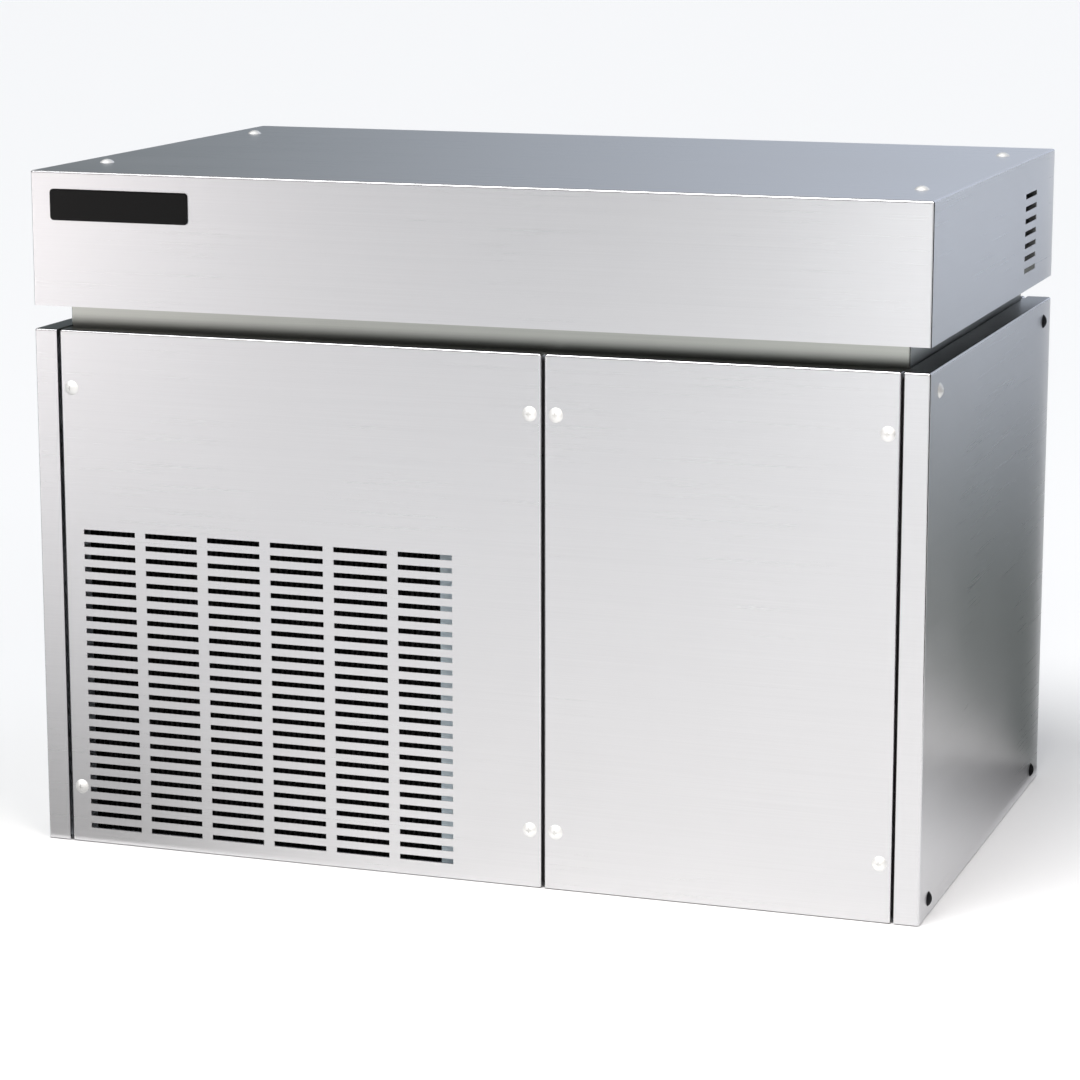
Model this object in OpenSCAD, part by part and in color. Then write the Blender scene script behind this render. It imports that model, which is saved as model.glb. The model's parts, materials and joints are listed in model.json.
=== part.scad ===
// Modular flake ice machine: a turning drum freezes water from a tank, a blade scrapes the ice into a chute.
// Origin: middle of the footprint on the ground. The front faces -Y, the drum lies along X.

/* [Cabinet] */
// Width over the side panels
body_w = 938; // [850:1:1040]
// Depth from the front panels to the rear panel
body_d = 588; // [530:1:680]
// Height from the ground to the top of the cover
body_h = 705; // [640:1:780]
// Height of the head, from the top of the cabinet to the top of the cover
head_room = 162; // [158:1:190]
// Height of the skirt of the lift-off cover
cover_h = 138; // [110:1:150]
// Thickness of the outer sheets
sheet_t = 1; // [0.8:0.1:1.2]
// Outer radius of the folds in the outer sheets
bend_r = 2.5; // [2:0.1:4]
// Width of the folds of a side panel, seen as the strips beside the front panels
side_flange = 25; // [20:1:32]
// Depth of the folds of the front and rear panels
panel_fold = 14; // [10:1:18]
// Open seam between neighbouring panels
seam = 3.2; // [2:0.1:5]
// Distance of the seam between the front panels right of the middle
seam_x = 82.8; // [60:0.1:110]
// Height of the panels' lower edges above the ground
panel_lift = 1; // [0.5:0.1:2]
// How far the neck stands behind the front and rear panels
neck_inset = 30; // [22:1:34]
// Gap between the neck and the folds of the side panels
neck_gap = 2; // [1:0.5:4]
// Width of the lip inside the top of the neck
neck_lip = 32; // [24:1:40]
// Thickness of the insulation under the cover
insulation_t = 10; // [6:1:12]

/* [Grille] */
// Length of a slot
slot_len = 58; // [40:1:62]
// Height of a slot
slot_h = 5.3; // [3:0.1:8]
// Distance between columns of slots
slot_pitch_x = 69.6; // [66:0.1:72]
// Distance between rows of slots
slot_pitch_z = 13.1; // [10:0.1:13.5]
// Plain width left on the front panel beside the slots
slot_plain = 90; // [85:1:110]
// Rows in the front grille
slot_rows = 25; // [5:1:30]
// From the left edge of the panel to the first column
slot_first_x = 22; // [20:1:50]
// From the ground to the lowest row
slot_first_z = 16; // [8:1:60]
// Rows in the side of the cover
vent_rows = 7; // [2:1:8]
// From the top of the cover to the middle of its first vent
vent_top = 38; // [20:1:50]
// From the rear of the cover to its vents
vent_rear = 96; // [40:1:200]
// Columns in the rear outlet
outlet_cols = 6; // [2:1:8]
// Rows in the rear outlet
outlet_rows = 14; // [4:1:18]
// From the ground to the lowest row of the rear outlet
outlet_z = 200; // [160:1:240]

/* [Frame] */
// Thickness of posts, deck and base
frame_t = 1.5; // [1.2:0.1:2]
// Height of the upturned rim of the base tray
base_rim = 12; // [8:1:14]
// Diameter of the holes that fix the base to an ice bin
bin_hole_d = 9; // [7:0.5:11]
// From the edge of the base to those holes
bin_hole_edge = 20; // [15:1:24]
// From the middle of the base to those holes, front and back
bin_hole_y = 60; // [40:1:80]
// Width of post left beyond a screw
post_margin = 10; // [7:1:16]
// Depth of the centre post
centre_post_d = 24; // [15:1:26]

/* [Screws] */
// Diameter of a domed head
head_d = 15; // [10:0.5:16]
// Height of a domed head
head_h = 3.6; // [2:0.1:5]
// Diameter of a shank
shank_d = 5; // [4:0.5:6]
// Radial clearance of a screw hole
hole_gap = 0.25; // [0.1:0.05:0.5]
// From the edge of a front or rear panel to its screws
front_screw_edge = 12; // [10:0.5:16]
// From the top and the ground to the screws of a front or rear panel
front_screw_end = 60; // [40:1:120]
// From the front or rear to the screws of a side panel
side_screw_edge = 40; // [32:1:60]
// From the top of the cabinet to the upper screws of a side panel
side_screw_top = 22; // [14:1:60]
// From the ground to the lower screws of a side panel
side_screw_low = 17; // [14:1:40]
// From the edge of the neck to the screws of the cover
cover_screw_edge = 9; // [8:0.5:16]
// From the front or rear of the cover to its screws
cover_screw_y = 104; // [60:1:180]

/* [Badge] */
// Width of the badge plate
badge_w = 153; // [80:1:220]
// Height of the badge plate
badge_h = 32; // [20:1:50]
// Thickness of the badge plate
badge_t = 1.5; // [1:0.1:3]
// Corner radius of the badge plate
badge_r = 4; // [1:0.5:8]
// From the left edge of the cover to the badge
badge_left = 22; // [10:1:200]
// From the top of the cover to the badge
badge_top = 18; // [8:1:60]

/* [Ice drum] */
// Diameter of the evaporator drum
drum_d = 220; // [200:1:222]
// Length of the evaporator drum
drum_len = 280; // [240:1:290]
// Wall of the drum
drum_wall = 4; // [2:0.5:8]
// Thickness of the ends of the drum
drum_end_t = 8; // [5:1:14]
// Height of the drum's axis above the deck
drum_rise = 36; // [34:1:37]
// Distance of the drum's axis behind the middle of the cabinet
drum_y = 60; // [50:1:66]
// Diameter of the journals
journal_d = 35; // [28:1:38]
// Bore through the left journal for the refrigerant
feed_bore = 18; // [10:1:22]
// Radial clearance of a turning shaft
run_gap = 0.05; // [0.02:0.01:0.1]
// Width of a pillow bearing
bearing_w = 26; // [18:1:32]
// Space between the drum and the tank
drum_clear = 12; // [8:1:16]
// Wall of the water tank
tank_wall = 6; // [4:0.5:8]
// Space between a journal and the tank's rim
rim_clear = 4; // [3:0.5:8]
// Width of the flange that carries the tank
tank_flange = 20; // [16:1:22]
// Thickness of the flanges of tank and chute
flange_t = 4; // [3:0.5:5]
// Gap between the scraper's edge and the drum
scrape_gap = 0.4; // [0.3:0.1:1]
// Angle above the drum's axis where the scraper's edge lies
scraper_lift = 10; // [5:1:14]
// Slope of the scraper's blade
scraper_slope = 40; // [36:1:42]
// Width of the scraper's blade
scraper_w = 80; // [76:1:90]
// Thickness of the scraper's blade
scraper_t = 4; // [3:0.5:5]
// Width of the bar under the blade
holder_w = 13; // [11:1:14]
// Number of screws in the blade
scraper_screws_n = 5; // [3:1:9]

/* [Drive] */
// Width of the gear case
gear_w = 76; // [66:1:84]
// Depth of the gear case
gear_d = 104; // [96:1:116]
// Height of the gear case
gear_h = 122; // [112:1:130]
// Gap between the gear case and the neck
gear_gap = 14; // [12:1:20]
// Outer diameter of the hollow output shaft
sleeve_d = 46; // [44:1:54]
// Height of the motor's axis above the drum's axis
motor_rise = 40; // [34:1:44]
// Diameter of the motor
motor_d = 90; // [70:1:94]
// Length of the motor
motor_len = 126; // [90:1:134]

/* [Ice chute] */
// Depth of the chute from front to back
chute_d = 140; // [100:1:144]
// Width of the chute's outlet
chute_w = 193; // [150:1:200]
// Wall of the chute
chute_wall = 3; // [2:0.5:4]
// From the deck down to where the chute's wall starts to slope
chute_drop = 42; // [35:1:60]
// Height of the chute's sloping wall
chute_slope_h = 110; // [80:1:160]

/* [Water] */
// Wall of the float box
float_wall = 3; // [2:0.5:4]
// Length of the float box along X
float_box_l = 100; // [100:1:116]
// Width of the float box along Y
float_box_w = 90; // [60:1:100]
// Height of the float box
float_box_h = 70; // [66:1:84]
// Diameter of the float
float_d = 32; // [24:1:34]
// Reach of the float arm
float_reach = 55; // [48:1:56]
// Diameter of the inlet hose
hose_d = 14; // [10:1:16]
// Diameter of the threaded inlet nipple
inlet_d = 26.4; // [20:0.1:30]
// Outer diameter of the drain spigot
drain_d = 24; // [16:1:28]
// How far the inlet and the drain stand out behind the rear panel
spigot_out = 22; // [15:1:40]
// How much wider the collars of inlet and drain are than their spigots
collar_step = 5; // [3:0.5:8]
// Bore of the cable gland
gland_bore = 9; // [6:0.5:12]

/* [Refrigeration] */
// Diameter of the compressor's shell
comp_d = 184; // [150:1:190]
// Height of the compressor's shell
comp_h = 270; // [220:1:300]
// Height of the rubber feet
foot_h = 18; // [16:1:30]
// Depth of the condenser's frame
cond_d = 78; // [70:1:90]
// Height of the condenser's frame
cond_h = 350; // [330:1:380]
// How far the condenser's flange shows behind the ends of the slots
cond_lap = 19; // [10:1:40]
// Depth of the fin block
fin_d = 56; // [50:1:62]
// Distance between fins
fin_pitch = 6; // [5:0.5:12]
// Depth of the grooves between fins
fin_groove = 6; // [3:1:10]
// Diameter of the condenser's tubes
tube_d = 10; // [8:0.5:12]
// Distance between tubes in a row
tube_pitch = 25; // [22:0.5:27]
// Tubes in a row
tube_n = 12; // [4:1:12]
// Width of the plate left round the fan's ring
fan_edge = 25; // [15:1:40]
// Number of fan blades
fan_n = 5; // [3:1:7]
// Gap between the fan and its ring
fan_gap = 7; // [4:1:10]
// Diameter of the fan motor
fan_motor_d = 84; // [60:1:100]
// Diameter of the fan shaft
fan_shaft_d = 8; // [6:0.5:10]
// Diameter of the receiver
receiver_d = 80; // [60:1:84]
// Length of the filter drier
drier_l = 110; // [90:1:130]
// Diameter of the filter drier
drier_d = 40; // [30:1:50]
// Diameter of the discharge pipe
discharge_d = 10; // [8:0.5:12]
// Diameter of the liquid pipes
liquid_d = 8; // [6:0.5:10]
// Diameter of the suction pipe
suction_d = 16; // [12:0.5:18]

/* [Control box] */
// Width of the control box
control_w = 120; // [80:1:124]
// Depth of the control box
control_d = 140; // [100:1:180]
// Height of the control box
control_h = 320; // [220:1:340]

/* [Hidden] */
$fn = 48;
corners = [[-1, -1], [1, -1], [1, 1], [-1, 1]];
// allowance for cuts that pass right through
cut = 1;
// gap where a pipe meets a round shell
butt_gap = 0.2;
// gap round a pipe in the deck
pass_gap = 2;
// free play between pieces that are pushed together
push_gap = 0.02;
// steps in a millimetre for lengths of folded sheets
grid = pow(2, 8);

// planes of the cabinet
cabinet_h = body_h - head_room;
side_x = body_w / 2;
inner_x = side_x - sheet_t;
front_y = -body_d / 2;
rear_y = body_d / 2;
seat_y = rear_y - panel_fold;
deck_top = cabinet_h - sheet_t;
deck_low = deck_top - frame_t;
rim_top = base_rim;
panel_h = cabinet_h - panel_lift;
deck_gap = 0.5;

// edges of the front panels
strip_x = side_x - side_flange;
louvre_x0 = -strip_x + seam;
louvre_x1 = seam_x - seam / 2;
louvre_w = louvre_x1 - louvre_x0;
service_x0 = seam_x + seam / 2;
service_x1 = strip_x - seam;
slot_cols = floor((louvre_w - slot_first_x - slot_plain - slot_len) / slot_pitch_x) + 1;
slots_x0 = louvre_x0 + slot_first_x;
slots_x1 = slots_x0 + (slot_cols - 1) * slot_pitch_x + slot_len;

// screws
hole_d = shank_d + 2 * hole_gap;
screw_tail = 4;
recess_w = 5;
recess_t = 1;
recess_h = 1.6;
front_screw_zs = [front_screw_end, cabinet_h - front_screw_end];
front_screw_xs = [for (e = [louvre_x0, service_x0]) e + front_screw_edge, louvre_x1 - front_screw_edge,
    service_x1 - front_screw_edge];
rear_screw_x = service_x1 - front_screw_edge;
side_screw_y = rear_y - side_screw_edge;
side_screw_zs = [side_screw_low, cabinet_h - side_screw_top];

// posts
post_front_leg = side_flange + seam + front_screw_edge + post_margin - sheet_t;
post_side_leg = side_screw_edge - panel_fold + post_margin;
post_h = deck_low - rim_top;
centre_post_w = 2 * (seam / 2 + front_screw_edge + post_margin);

// neck and cover
neck_w = body_w - 2 * (side_flange + neck_gap);
neck_d = body_d - 2 * neck_inset;
neck_top = body_h - sheet_t;
neck_in_x = neck_w / 2 - sheet_t;
cover_screw_x = neck_w / 2 - cover_screw_edge;
cover_screw_dy = rear_y - cover_screw_y;
insulation_gap = 1;

// drum, bearings and gear case, counted from the right wall of the neck
drum_z = deck_top + drum_rise;
shaft_gap = 6;
shaft_out = 5;
end_clear = 8;
gear_boss_r = 33;
gear_boss_out = 2;
gear_foot_out = 14;
gear_foot_t = 8;
gear_x1 = neck_in_x - gear_gap;
gear_x0 = gear_x1 - gear_w;
gear_y0 = drum_y - gear_d / 2;
gear_y1 = drum_y + gear_d / 2;
right_bearing_x = gear_x0 - shaft_gap - bearing_w;
tank_x1 = right_bearing_x - shaft_gap;
drum_x1 = tank_x1 - tank_wall - end_clear;
drum_x0 = drum_x1 - drum_len;
tank_x0 = drum_x0 - end_clear - tank_wall;
left_bearing_x = tank_x0 - shaft_gap - bearing_w;
bearing_r = 32;
bearing_base_w = 110;
bearing_base_t = 14;
journal_x1 = gear_x1 + shaft_out;

// rotary joint on the left journal
rotary_len = 66;
rotary_r = 30;
rotary_gap = 7;
rotary_x1 = left_bearing_x - rotary_gap;
rotary_x0 = rotary_x1 - rotary_len;
rotary_engage = 26;
journal_x0 = rotary_x1 - rotary_engage;
rotary_foot = [30, 36];

// tank
tank_r = drum_d / 2 + drum_clear + tank_wall;
tank_in_r = tank_r - tank_wall;
tank_low = drum_z - tank_r;
tank_rim = drum_z - journal_d / 2 - rim_clear;
tank_half = sqrt(pow(tank_r, 2) - pow(drum_rise - flange_t, 2));
flange_y = tank_half + tank_flange;
tank_gap = 1;
flange_root = 2;

// scraper, worked out in the plane across the drum: s runs down the blade and n stands up from it
tip_r = drum_d / 2 + scrape_gap;
tip_y = drum_y - tip_r * cos(scraper_lift);
tip_z = drum_z + tip_r * sin(scraper_lift);
scraper_bevel = 2 * scraper_t;
holder_set = 1;
holder_y0 = drum_y - flange_y + holder_set;
holder_y1 = holder_y0 + holder_w;
holder_low = deck_top + flange_t;
blade_screw_d = 5;
blade_head_d = 9;
blade_head_h = 3;
blade_screw_in = 9;
blade_screw_l = scraper_t + blade_screw_in;
function scraper_point(s, n) = [
    tip_y - s * cos(scraper_slope) - n * sin(scraper_slope),
    tip_z - s * sin(scraper_slope) + n * cos(scraper_slope)
];
function blade_run(y) = (tip_y + scraper_t * sin(scraper_slope) - y) / cos(scraper_slope);
function blade_under(y) = scraper_point(blade_run(y), -scraper_t)[1];
blade_screw_s = blade_run((holder_y0 + holder_y1) / 2);
blade_screw_pitch = drum_len / scraper_screws_n;

// motor
motor_x = (gear_x0 + gear_x1) / 2;
motor_z = drum_z + motor_rise;
motor_flange_t = 8;
motor_ribs = 9;
motor_rib_h = 3;
terminal_box = [46, 60, 20];

// chute, in front of the tank
chute_off = 3;
chute_over = 6;
chute_y1 = drum_y - flange_y - chute_off;
chute_y0 = chute_y1 - chute_d;
chute_x0 = drum_x0 - chute_over;
chute_x1 = drum_x1 + chute_over;
chute_low_x = chute_x1 - chute_w;
chute_low = 0.5;
chute_shoulder = deck_top - chute_drop;
chute_knee = chute_shoulder - chute_slope_h;
chute_flange = 12;
chute_gap = 1;

// float box and valve
float_off_x = 80;
float_off_y = 95;
float_valve_drop = 16;
float_drop = 32;
pivot_in = 14;
float_x1 = rotary_x0 - float_off_x;
float_x0 = float_x1 - float_box_l;
float_y = drum_y + float_off_y;
float_valve_z = deck_top + float_box_h - float_valve_drop;
pivot_x = float_x0 + float_wall + pivot_in;
pivot_d = 4;
eye_d = 10;
eye_gap = 1;
ear_t = 3;
arm_w = 7;
arm_side_gap = 0.5;
valve_d = 14;
valve_flange_d = 24;
valve_out = 30;
stem_d = 4;
stem_sink = 12;
link_d = 8;
link_rise = 8;
link_z = deck_top + link_rise;

// water and cable connections at the rear
ports_in = 89;
inlet_x = side_x - ports_in;
inlet_z = 90;
nipple_wall = 4;
valve_block = [36, 52, 36];
coil_block = [20, 34, 32];
hose_in = 44;
hose_drop = 60;
hose_off = 60;
hose_y = rear_y - hose_in;
hose_z = deck_low - hose_drop;
hose_x = float_x0 - hose_off;
hose_bend = 24;
outlet_d = 10;
outlet_l = 22;
collar_out = 2;
drain_in = 30;
drain_x = tank_x1 - drain_in;
drain_z = 70;
drain_bend = 36;
drain_wall = 2.5;
gland_x = side_x - ports_in;
gland_z = 170;
gland_thread_d = 20;
gland_head_d = 27;
gland_head_l = 18;
gland_nut_l = 7;
gland_tail = 4;

// condenser and fan
cond_gap = 0.5;
cond_in = 6;
cond_x0 = louvre_x0 + cond_in;
cond_x1 = slots_x1 - cond_lap + sheet_t;
cond_y0 = -seat_y + bend_r + cond_gap;
cond_y1 = cond_y0 + cond_d;
cond_yc = (cond_y0 + cond_y1) / 2;
cond_flange = 26;
fin_x0 = cond_x0 + sheet_t;
fin_x1 = cond_x1 - sheet_t;
fin_n = floor((fin_x1 - fin_x0) / fin_pitch);
row_dy = 32;
tube_first = 44;
tube_z0 = frame_t + tube_first;
tube_top = tube_z0 + (tube_n - 1) * tube_pitch;
fan_x = (cond_x0 + cond_x1) / 2;
fan_z = frame_t + cond_h / 2;
fan_ring_l = 34;
hub_d = 56;
hub_l = 30;
hub_gap = 12;
hub_y = cond_y1 + hub_gap;
strap_gap = 58;
strap_y = cond_y1 + strap_gap;
strap_t = 3;
strap_w = 24;
strap_foot = 18;
strap_clear = 10;
fan_side = max(fan_edge, strap_clear + strap_foot);
fan_ring_d = min(cond_h - 2 * fan_edge, cond_x1 - cond_x0 - 2 * fan_side);
fan_d = fan_ring_d - 2 * fan_gap;
strap_half = fan_ring_d / 2 + strap_clear;
fan_motor_l = 70;
fan_boss_d = 20;
fan_boss_l = 8;
shaft_in = 30;
blade_chord = 84;
blade_camber = 10;
blade_t = 2.4;
blade_pitch = 32;
blade_twist = 14;
blade_steps = 4;
blade_slices = 8;

// compressor
comp_left = 220;
comp_rear = 174;
comp_x = -side_x + comp_left;
comp_y = rear_y - comp_rear;
comp_sink = 12;
comp_plate_t = 3;
comp_z0 = frame_t + foot_h - comp_sink;
comp_mid = comp_z0 + comp_h / 2;
comp_feet_x = 80;
comp_feet_y = 62;
foot_d = 28;
belt_h = 6;
belt_out = 2;
shell_gap = 0.3;
terminal_cap = [64, 40, 70];

// receiver, drier, valve and pipes
receiver_y = -40;
receiver_foot_h = 16;
receiver_foot_step = 6;
receiver_port_drop = 50;
drier_stub = 30;
drier_cone = 12;
exp_in = 30;
exp_drop = 24;
exp_x = rotary_x0 + exp_in;
exp_low = drum_z - exp_drop;
exp_d = 28;
exp_h = 50;
exp_cap_d = 44;
exp_cap_h = 10;
pipe_bend = 18;
feed_drop = 20;
feed_run = 91;
feed_rise = 30;
feed_z = tank_low - feed_drop;
drier_top = feed_z - feed_rise;
receiver_x = exp_x + feed_run;
receiver_top = drier_top - 2 * drier_stub - drier_l;
receiver_h = receiver_top - frame_t;
discharge_gap = 14;
discharge_rise = 70;
discharge_x = receiver_x + receiver_d / 2 + discharge_gap;
discharge_z = comp_mid + discharge_rise;
suction_out = 34;
suction_back = 30;
suction_drop = 10;
suction_port_drop = 45;
suction_x = rotary_x0 - suction_out;
suction_y = comp_y + comp_d / 2 + suction_back;
suction_z = tank_low - suction_drop;
suction_in_z = comp_mid - suction_port_drop;
suction_bend = 26;

// control box
control_gap = 13;
control_back = 40;
control_x1 = inner_x - control_gap;
control_x0 = control_x1 - control_w;
control_y0 = -seat_y + control_back;
control_wall = 1.5;
lid_fold = 10;

// rounds a length to a fine grid, so that faces laid edge to edge meet exactly
function to_grid(v) = round(v * grid) / grid;

// quarter ring of a fold, from +X to +Y
module bend_2d(t, r) {
    intersection() {
        difference() {
            circle(r);
            circle(r - t);
        }
        square(r);
    }
}

// section of a folded edge: the bend's centre at the origin, the flange running down
module fold_2d(fold, t, r) {
    bend_2d(t, r);
    translate([r - t, r - fold])
        square([t, fold - r]);
}

// a folded edge along X
module fold_strip(length, fold, t, r) {
    rotate([90, 0, 90])
        linear_extrude(length, center = true)
            fold_2d(fold, t, r);
}

// a sheet folded down on all four sides with closed round corners; the children are cut out of its face
module tray(a, b, fold, t = sheet_t, r = bend_r) {
    flat_a = to_grid(a - 2 * r);
    flat_b = to_grid(b - 2 * r);
    translate([0, 0, -t])
        linear_extrude(t)
            difference() {
                square([flat_a, flat_b], center = true);
                children();
            }
    for (side = [0, 180]) {
        rotate([0, 0, side])
            translate([0, flat_b / 2, -r])
                fold_strip(flat_a, fold, t, r);
        rotate([0, 0, side + 90])
            translate([0, flat_a / 2, -r])
                fold_strip(flat_b, fold, t, r);
    }
    for (c = corners)
        translate([c[0] * flat_a / 2, c[1] * flat_b / 2, -r])
            mirror([c[0] < 0 ? 1 : 0, 0, 0])
                mirror([0, c[1] < 0 ? 1 : 0, 0]) {
                    intersection() {
                        difference() {
                            sphere(r);
                            sphere(r - t);
                        }
                        cube(r);
                    }
                    translate([0, 0, r - fold])
                        linear_extrude(fold - r)
                            bend_2d(t, r);
                }
}

// a tray standing on its unfolded lower edge and facing -Y; cut-outs count from the middle of that edge
module standing_tray(w, h, fold) {
    spare = 2 * bend_r;
    difference() {
        translate([0, 0, (h - spare) / 2])
            rotate([90, 0, 0])
                tray(w, h + spare, fold)
                    translate([0, (spare - h) / 2])
                        children();
        translate([-w / 2 - cut, -cut, -spare - cut])
            cube([w + 2 * cut, fold + 2 * cut, spare + cut]);
    }
}

// an angle section with its outer corner at the origin and legs along +X and +Y
module angle_2d(leg_x, leg_y, t, r) {
    translate([r, r])
        rotate(180)
            bend_2d(t, r);
    translate([r, 0])
        square([leg_x - r, t]);
    translate([0, r])
        square([t, leg_y - r]);
}

// rows and columns of slots, with the lowest left slot's corner at the origin
module slot_field(cols, rows) {
    for (i = [0 : cols - 1], j = [0 : rows - 1])
        translate([i * slot_pitch_x, j * slot_pitch_z])
            square([slot_len, slot_h]);
}

// a domed screw with a cross recess: the head stands up from the origin and the shank runs down
module screw(length, d = shank_d, head = head_d, rise = head_h) {
    dome_r = (pow(head / 2, 2) + pow(rise, 2)) / (2 * rise);
    translate([0, 0, -length])
        cylinder(d = d, h = length + rise / 2);
    difference() {
        intersection() {
            translate([0, 0, rise - dome_r])
                sphere(dome_r);
            cylinder(d = head, h = rise);
        }
        for (turn = [0, 90])
            rotate([0, 0, turn])
                translate([-recess_w / 2, -recess_t / 2, rise - recess_h])
                    cube([recess_w, recess_t, recess_h + cut]);
    }
}

// a round tube along a route of square corners, each rounded by a bend; a core joins bends and straights
module bent_tube(route, d, bend) {
    last = len(route) - 1;
    for (i = [0 : last - 1]) {
        u = (route[i + 1] - route[i]) / norm(route[i + 1] - route[i]);
        start = route[i] + (i > 0 ? bend : 0) * u;
        end = route[i + 1] - (i < last - 1 ? bend : 0) * u;
        across = abs(u[2]) > 0.9 ? [1, 0, 0] : [0, 0, 1];
        along_frame(across, cross(u, across), u, start)
            cylinder(d = d, h = norm(end - start));
    }
    for (i = [1 : 1 : last - 1]) {
        u = (route[i] - route[i - 1]) / norm(route[i] - route[i - 1]);
        v = (route[i + 1] - route[i]) / norm(route[i + 1] - route[i]);
        along_frame(-v, u, cross(-v, u), route[i] + bend * (v - u))
            rotate_extrude(angle = 90)
                translate([bend, 0])
                    circle(d = d);
        for (p = [route[i] - bend * u, route[i] + bend * v])
            translate(p)
                sphere(d = d / 2);
    }
}

// places its children in a frame given by three unit vectors and a point
module along_frame(x, y, z, p) {
    multmatrix([
        [x[0], y[0], z[0], p[0]],
        [x[1], y[1], z[1], p[1]],
        [x[2], y[2], z[2], p[2]],
        [0, 0, 0, 1]
    ])
        children();
}

// a cylinder along X or along Y
module rod_x(d, x0, x1, y, z) {
    translate([x0, y, z])
        rotate([0, 90, 0])
            cylinder(d = d, h = x1 - x0);
}
module rod_y(d, y0, y1, x, z) {
    translate([x, y0, z])
        rotate([-90, 0, 0])
            cylinder(d = d, h = y1 - y0);
}

// a block between two opposite corners
module block(a, b) {
    translate(a)
        cube(b - a);
}

module base_tray() {
    color("silver")
        mirror([0, 0, 1])
            tray(2 * inner_x, 2 * seat_y, base_rim, frame_t) {
                translate([chute_low_x - chute_gap, chute_y0 - chute_gap])
                    square([chute_w + 2 * chute_gap, chute_d + 2 * chute_gap]);
                for (c = corners)
                    translate([c[0] * (inner_x - bin_hole_edge), c[1] * bin_hole_y])
                        circle(d = bin_hole_d);
            }
}

module deck_plate() {
    deck_w = 2 * (side_x - bend_r - deck_gap);
    tank_cut = [tank_x1 - tank_x0 + 2 * tank_gap, 2 * (tank_half + tank_gap)];
    chute_cut = [chute_x1 - chute_x0 + 2 * chute_gap, chute_d + 2 * chute_gap];
    color("silver")
        translate([0, 0, deck_low])
            linear_extrude(frame_t)
                difference() {
                    square([deck_w, 2 * seat_y], center = true);
                    translate([tank_x0 - tank_gap, drum_y - tank_half - tank_gap])
                        square(tank_cut);
                    translate([chute_x0 - chute_gap, chute_y0 - chute_gap])
                        square(chute_cut);
                    translate([exp_x, receiver_y])
                        circle(d = liquid_d + 2 * pass_gap);
                    translate([suction_x, drum_y])
                        circle(d = suction_d + 2 * pass_gap);
                    translate([hose_x, float_y])
                        circle(d = hose_d + 2 * pass_gap);
                }
}

// a corner post standing on the rim of the base; sx and sy name the corner
module corner_post(sx, sy) {
    difference() {
        translate([sx * inner_x, sy * seat_y, rim_top])
            mirror([sx > 0 ? 1 : 0, 0, 0])
                mirror([0, sy > 0 ? 1 : 0, 0])
                    linear_extrude(post_h)
                        angle_2d(post_front_leg, post_side_leg, frame_t, bend_r);
        for (z = front_screw_zs)
            rod_y(hole_d, sy * seat_y - 2 * frame_t, sy * seat_y + 2 * frame_t, sx * rear_screw_x, z);
        for (z = side_screw_zs)
            rod_x(hole_d, sx * inner_x - 2 * frame_t, sx * inner_x + 2 * frame_t, sy * side_screw_y, z);
    }
}
module front_left_post() {
    color("silver")
        corner_post(-1, -1);
}
module front_right_post() {
    color("silver")
        corner_post(1, -1);
}
module rear_left_post() {
    color("silver")
        corner_post(-1, 1);
}
module rear_right_post() {
    color("silver")
        corner_post(1, 1);
}

module centre_post() {
    color("silver")
        difference() {
            translate([seam_x, -seat_y, rim_top])
                linear_extrude(post_h)
                    for (side = [0, 1])
                        mirror([side, 0])
                            translate([-centre_post_w / 2, 0])
                                angle_2d(centre_post_w / 2, centre_post_d, frame_t, bend_r);
            for (x = [louvre_x1 - front_screw_edge, service_x0 + front_screw_edge], z = front_screw_zs)
                rod_y(hole_d, -seat_y - cut, -seat_y + frame_t + cut, x, z);
        }
}

// side panel with its screw holes, facing +X
module side_panel() {
    translate([side_x, 0, panel_lift])
        rotate([0, 0, 90])
            standing_tray(body_d, panel_h, side_flange)
                for (s = [-1, 1], z = side_screw_zs)
                    translate([s * side_screw_y, z - panel_lift])
                        circle(d = hole_d);
}
module left_side_panel() {
    color("lightsteelblue")
        mirror([1, 0, 0])
            side_panel();
}
module right_side_panel() {
    color("lightsteelblue")
        side_panel();
}

// four screw holes of a front or rear panel of a given width
module panel_holes(w) {
    for (s = [-1, 1], z = front_screw_zs)
        translate([s * (w / 2 - front_screw_edge), z - panel_lift])
            circle(d = hole_d);
}

module louvre_panel() {
    color("gainsboro")
        translate([louvre_x0 + louvre_w / 2, front_y, panel_lift])
            standing_tray(louvre_w, panel_h, panel_fold) {
                panel_holes(louvre_w);
                translate([slot_first_x - louvre_w / 2, slot_first_z - panel_lift])
                    slot_field(slot_cols, slot_rows);
            }
}

module service_panel() {
    service_w = service_x1 - service_x0;
    color("gainsboro")
        translate([service_x0 + service_w / 2, front_y, panel_lift])
            standing_tray(service_w, panel_h, panel_fold)
                panel_holes(service_w);
}

module rear_panel() {
    outlet_w = (outlet_cols - 1) * slot_pitch_x + slot_len;
    color("silver")
        translate([0, rear_y, panel_lift])
            rotate([0, 0, 180])
                standing_tray(2 * service_x1, panel_h, panel_fold) {
                    panel_holes(2 * service_x1);
                    translate([-slots_x0 - outlet_w, outlet_z - panel_lift])
                        slot_field(outlet_cols, outlet_rows);
                    translate([-inlet_x, inlet_z - panel_lift])
                        circle(d = inlet_d + collar_step + 2 * hole_gap);
                    translate([-drain_x, drain_z - panel_lift])
                        circle(d = drain_d + collar_step + 2 * hole_gap);
                    translate([-gland_x, gland_z - panel_lift])
                        circle(d = gland_thread_d + 2 * hole_gap);
                }
}

// the four screw places on the top, as 2D children
module cover_holes() {
    for (c = corners)
        translate([c[0] * cover_screw_x, c[1] * cover_screw_dy])
            circle(d = hole_d);
}

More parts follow.
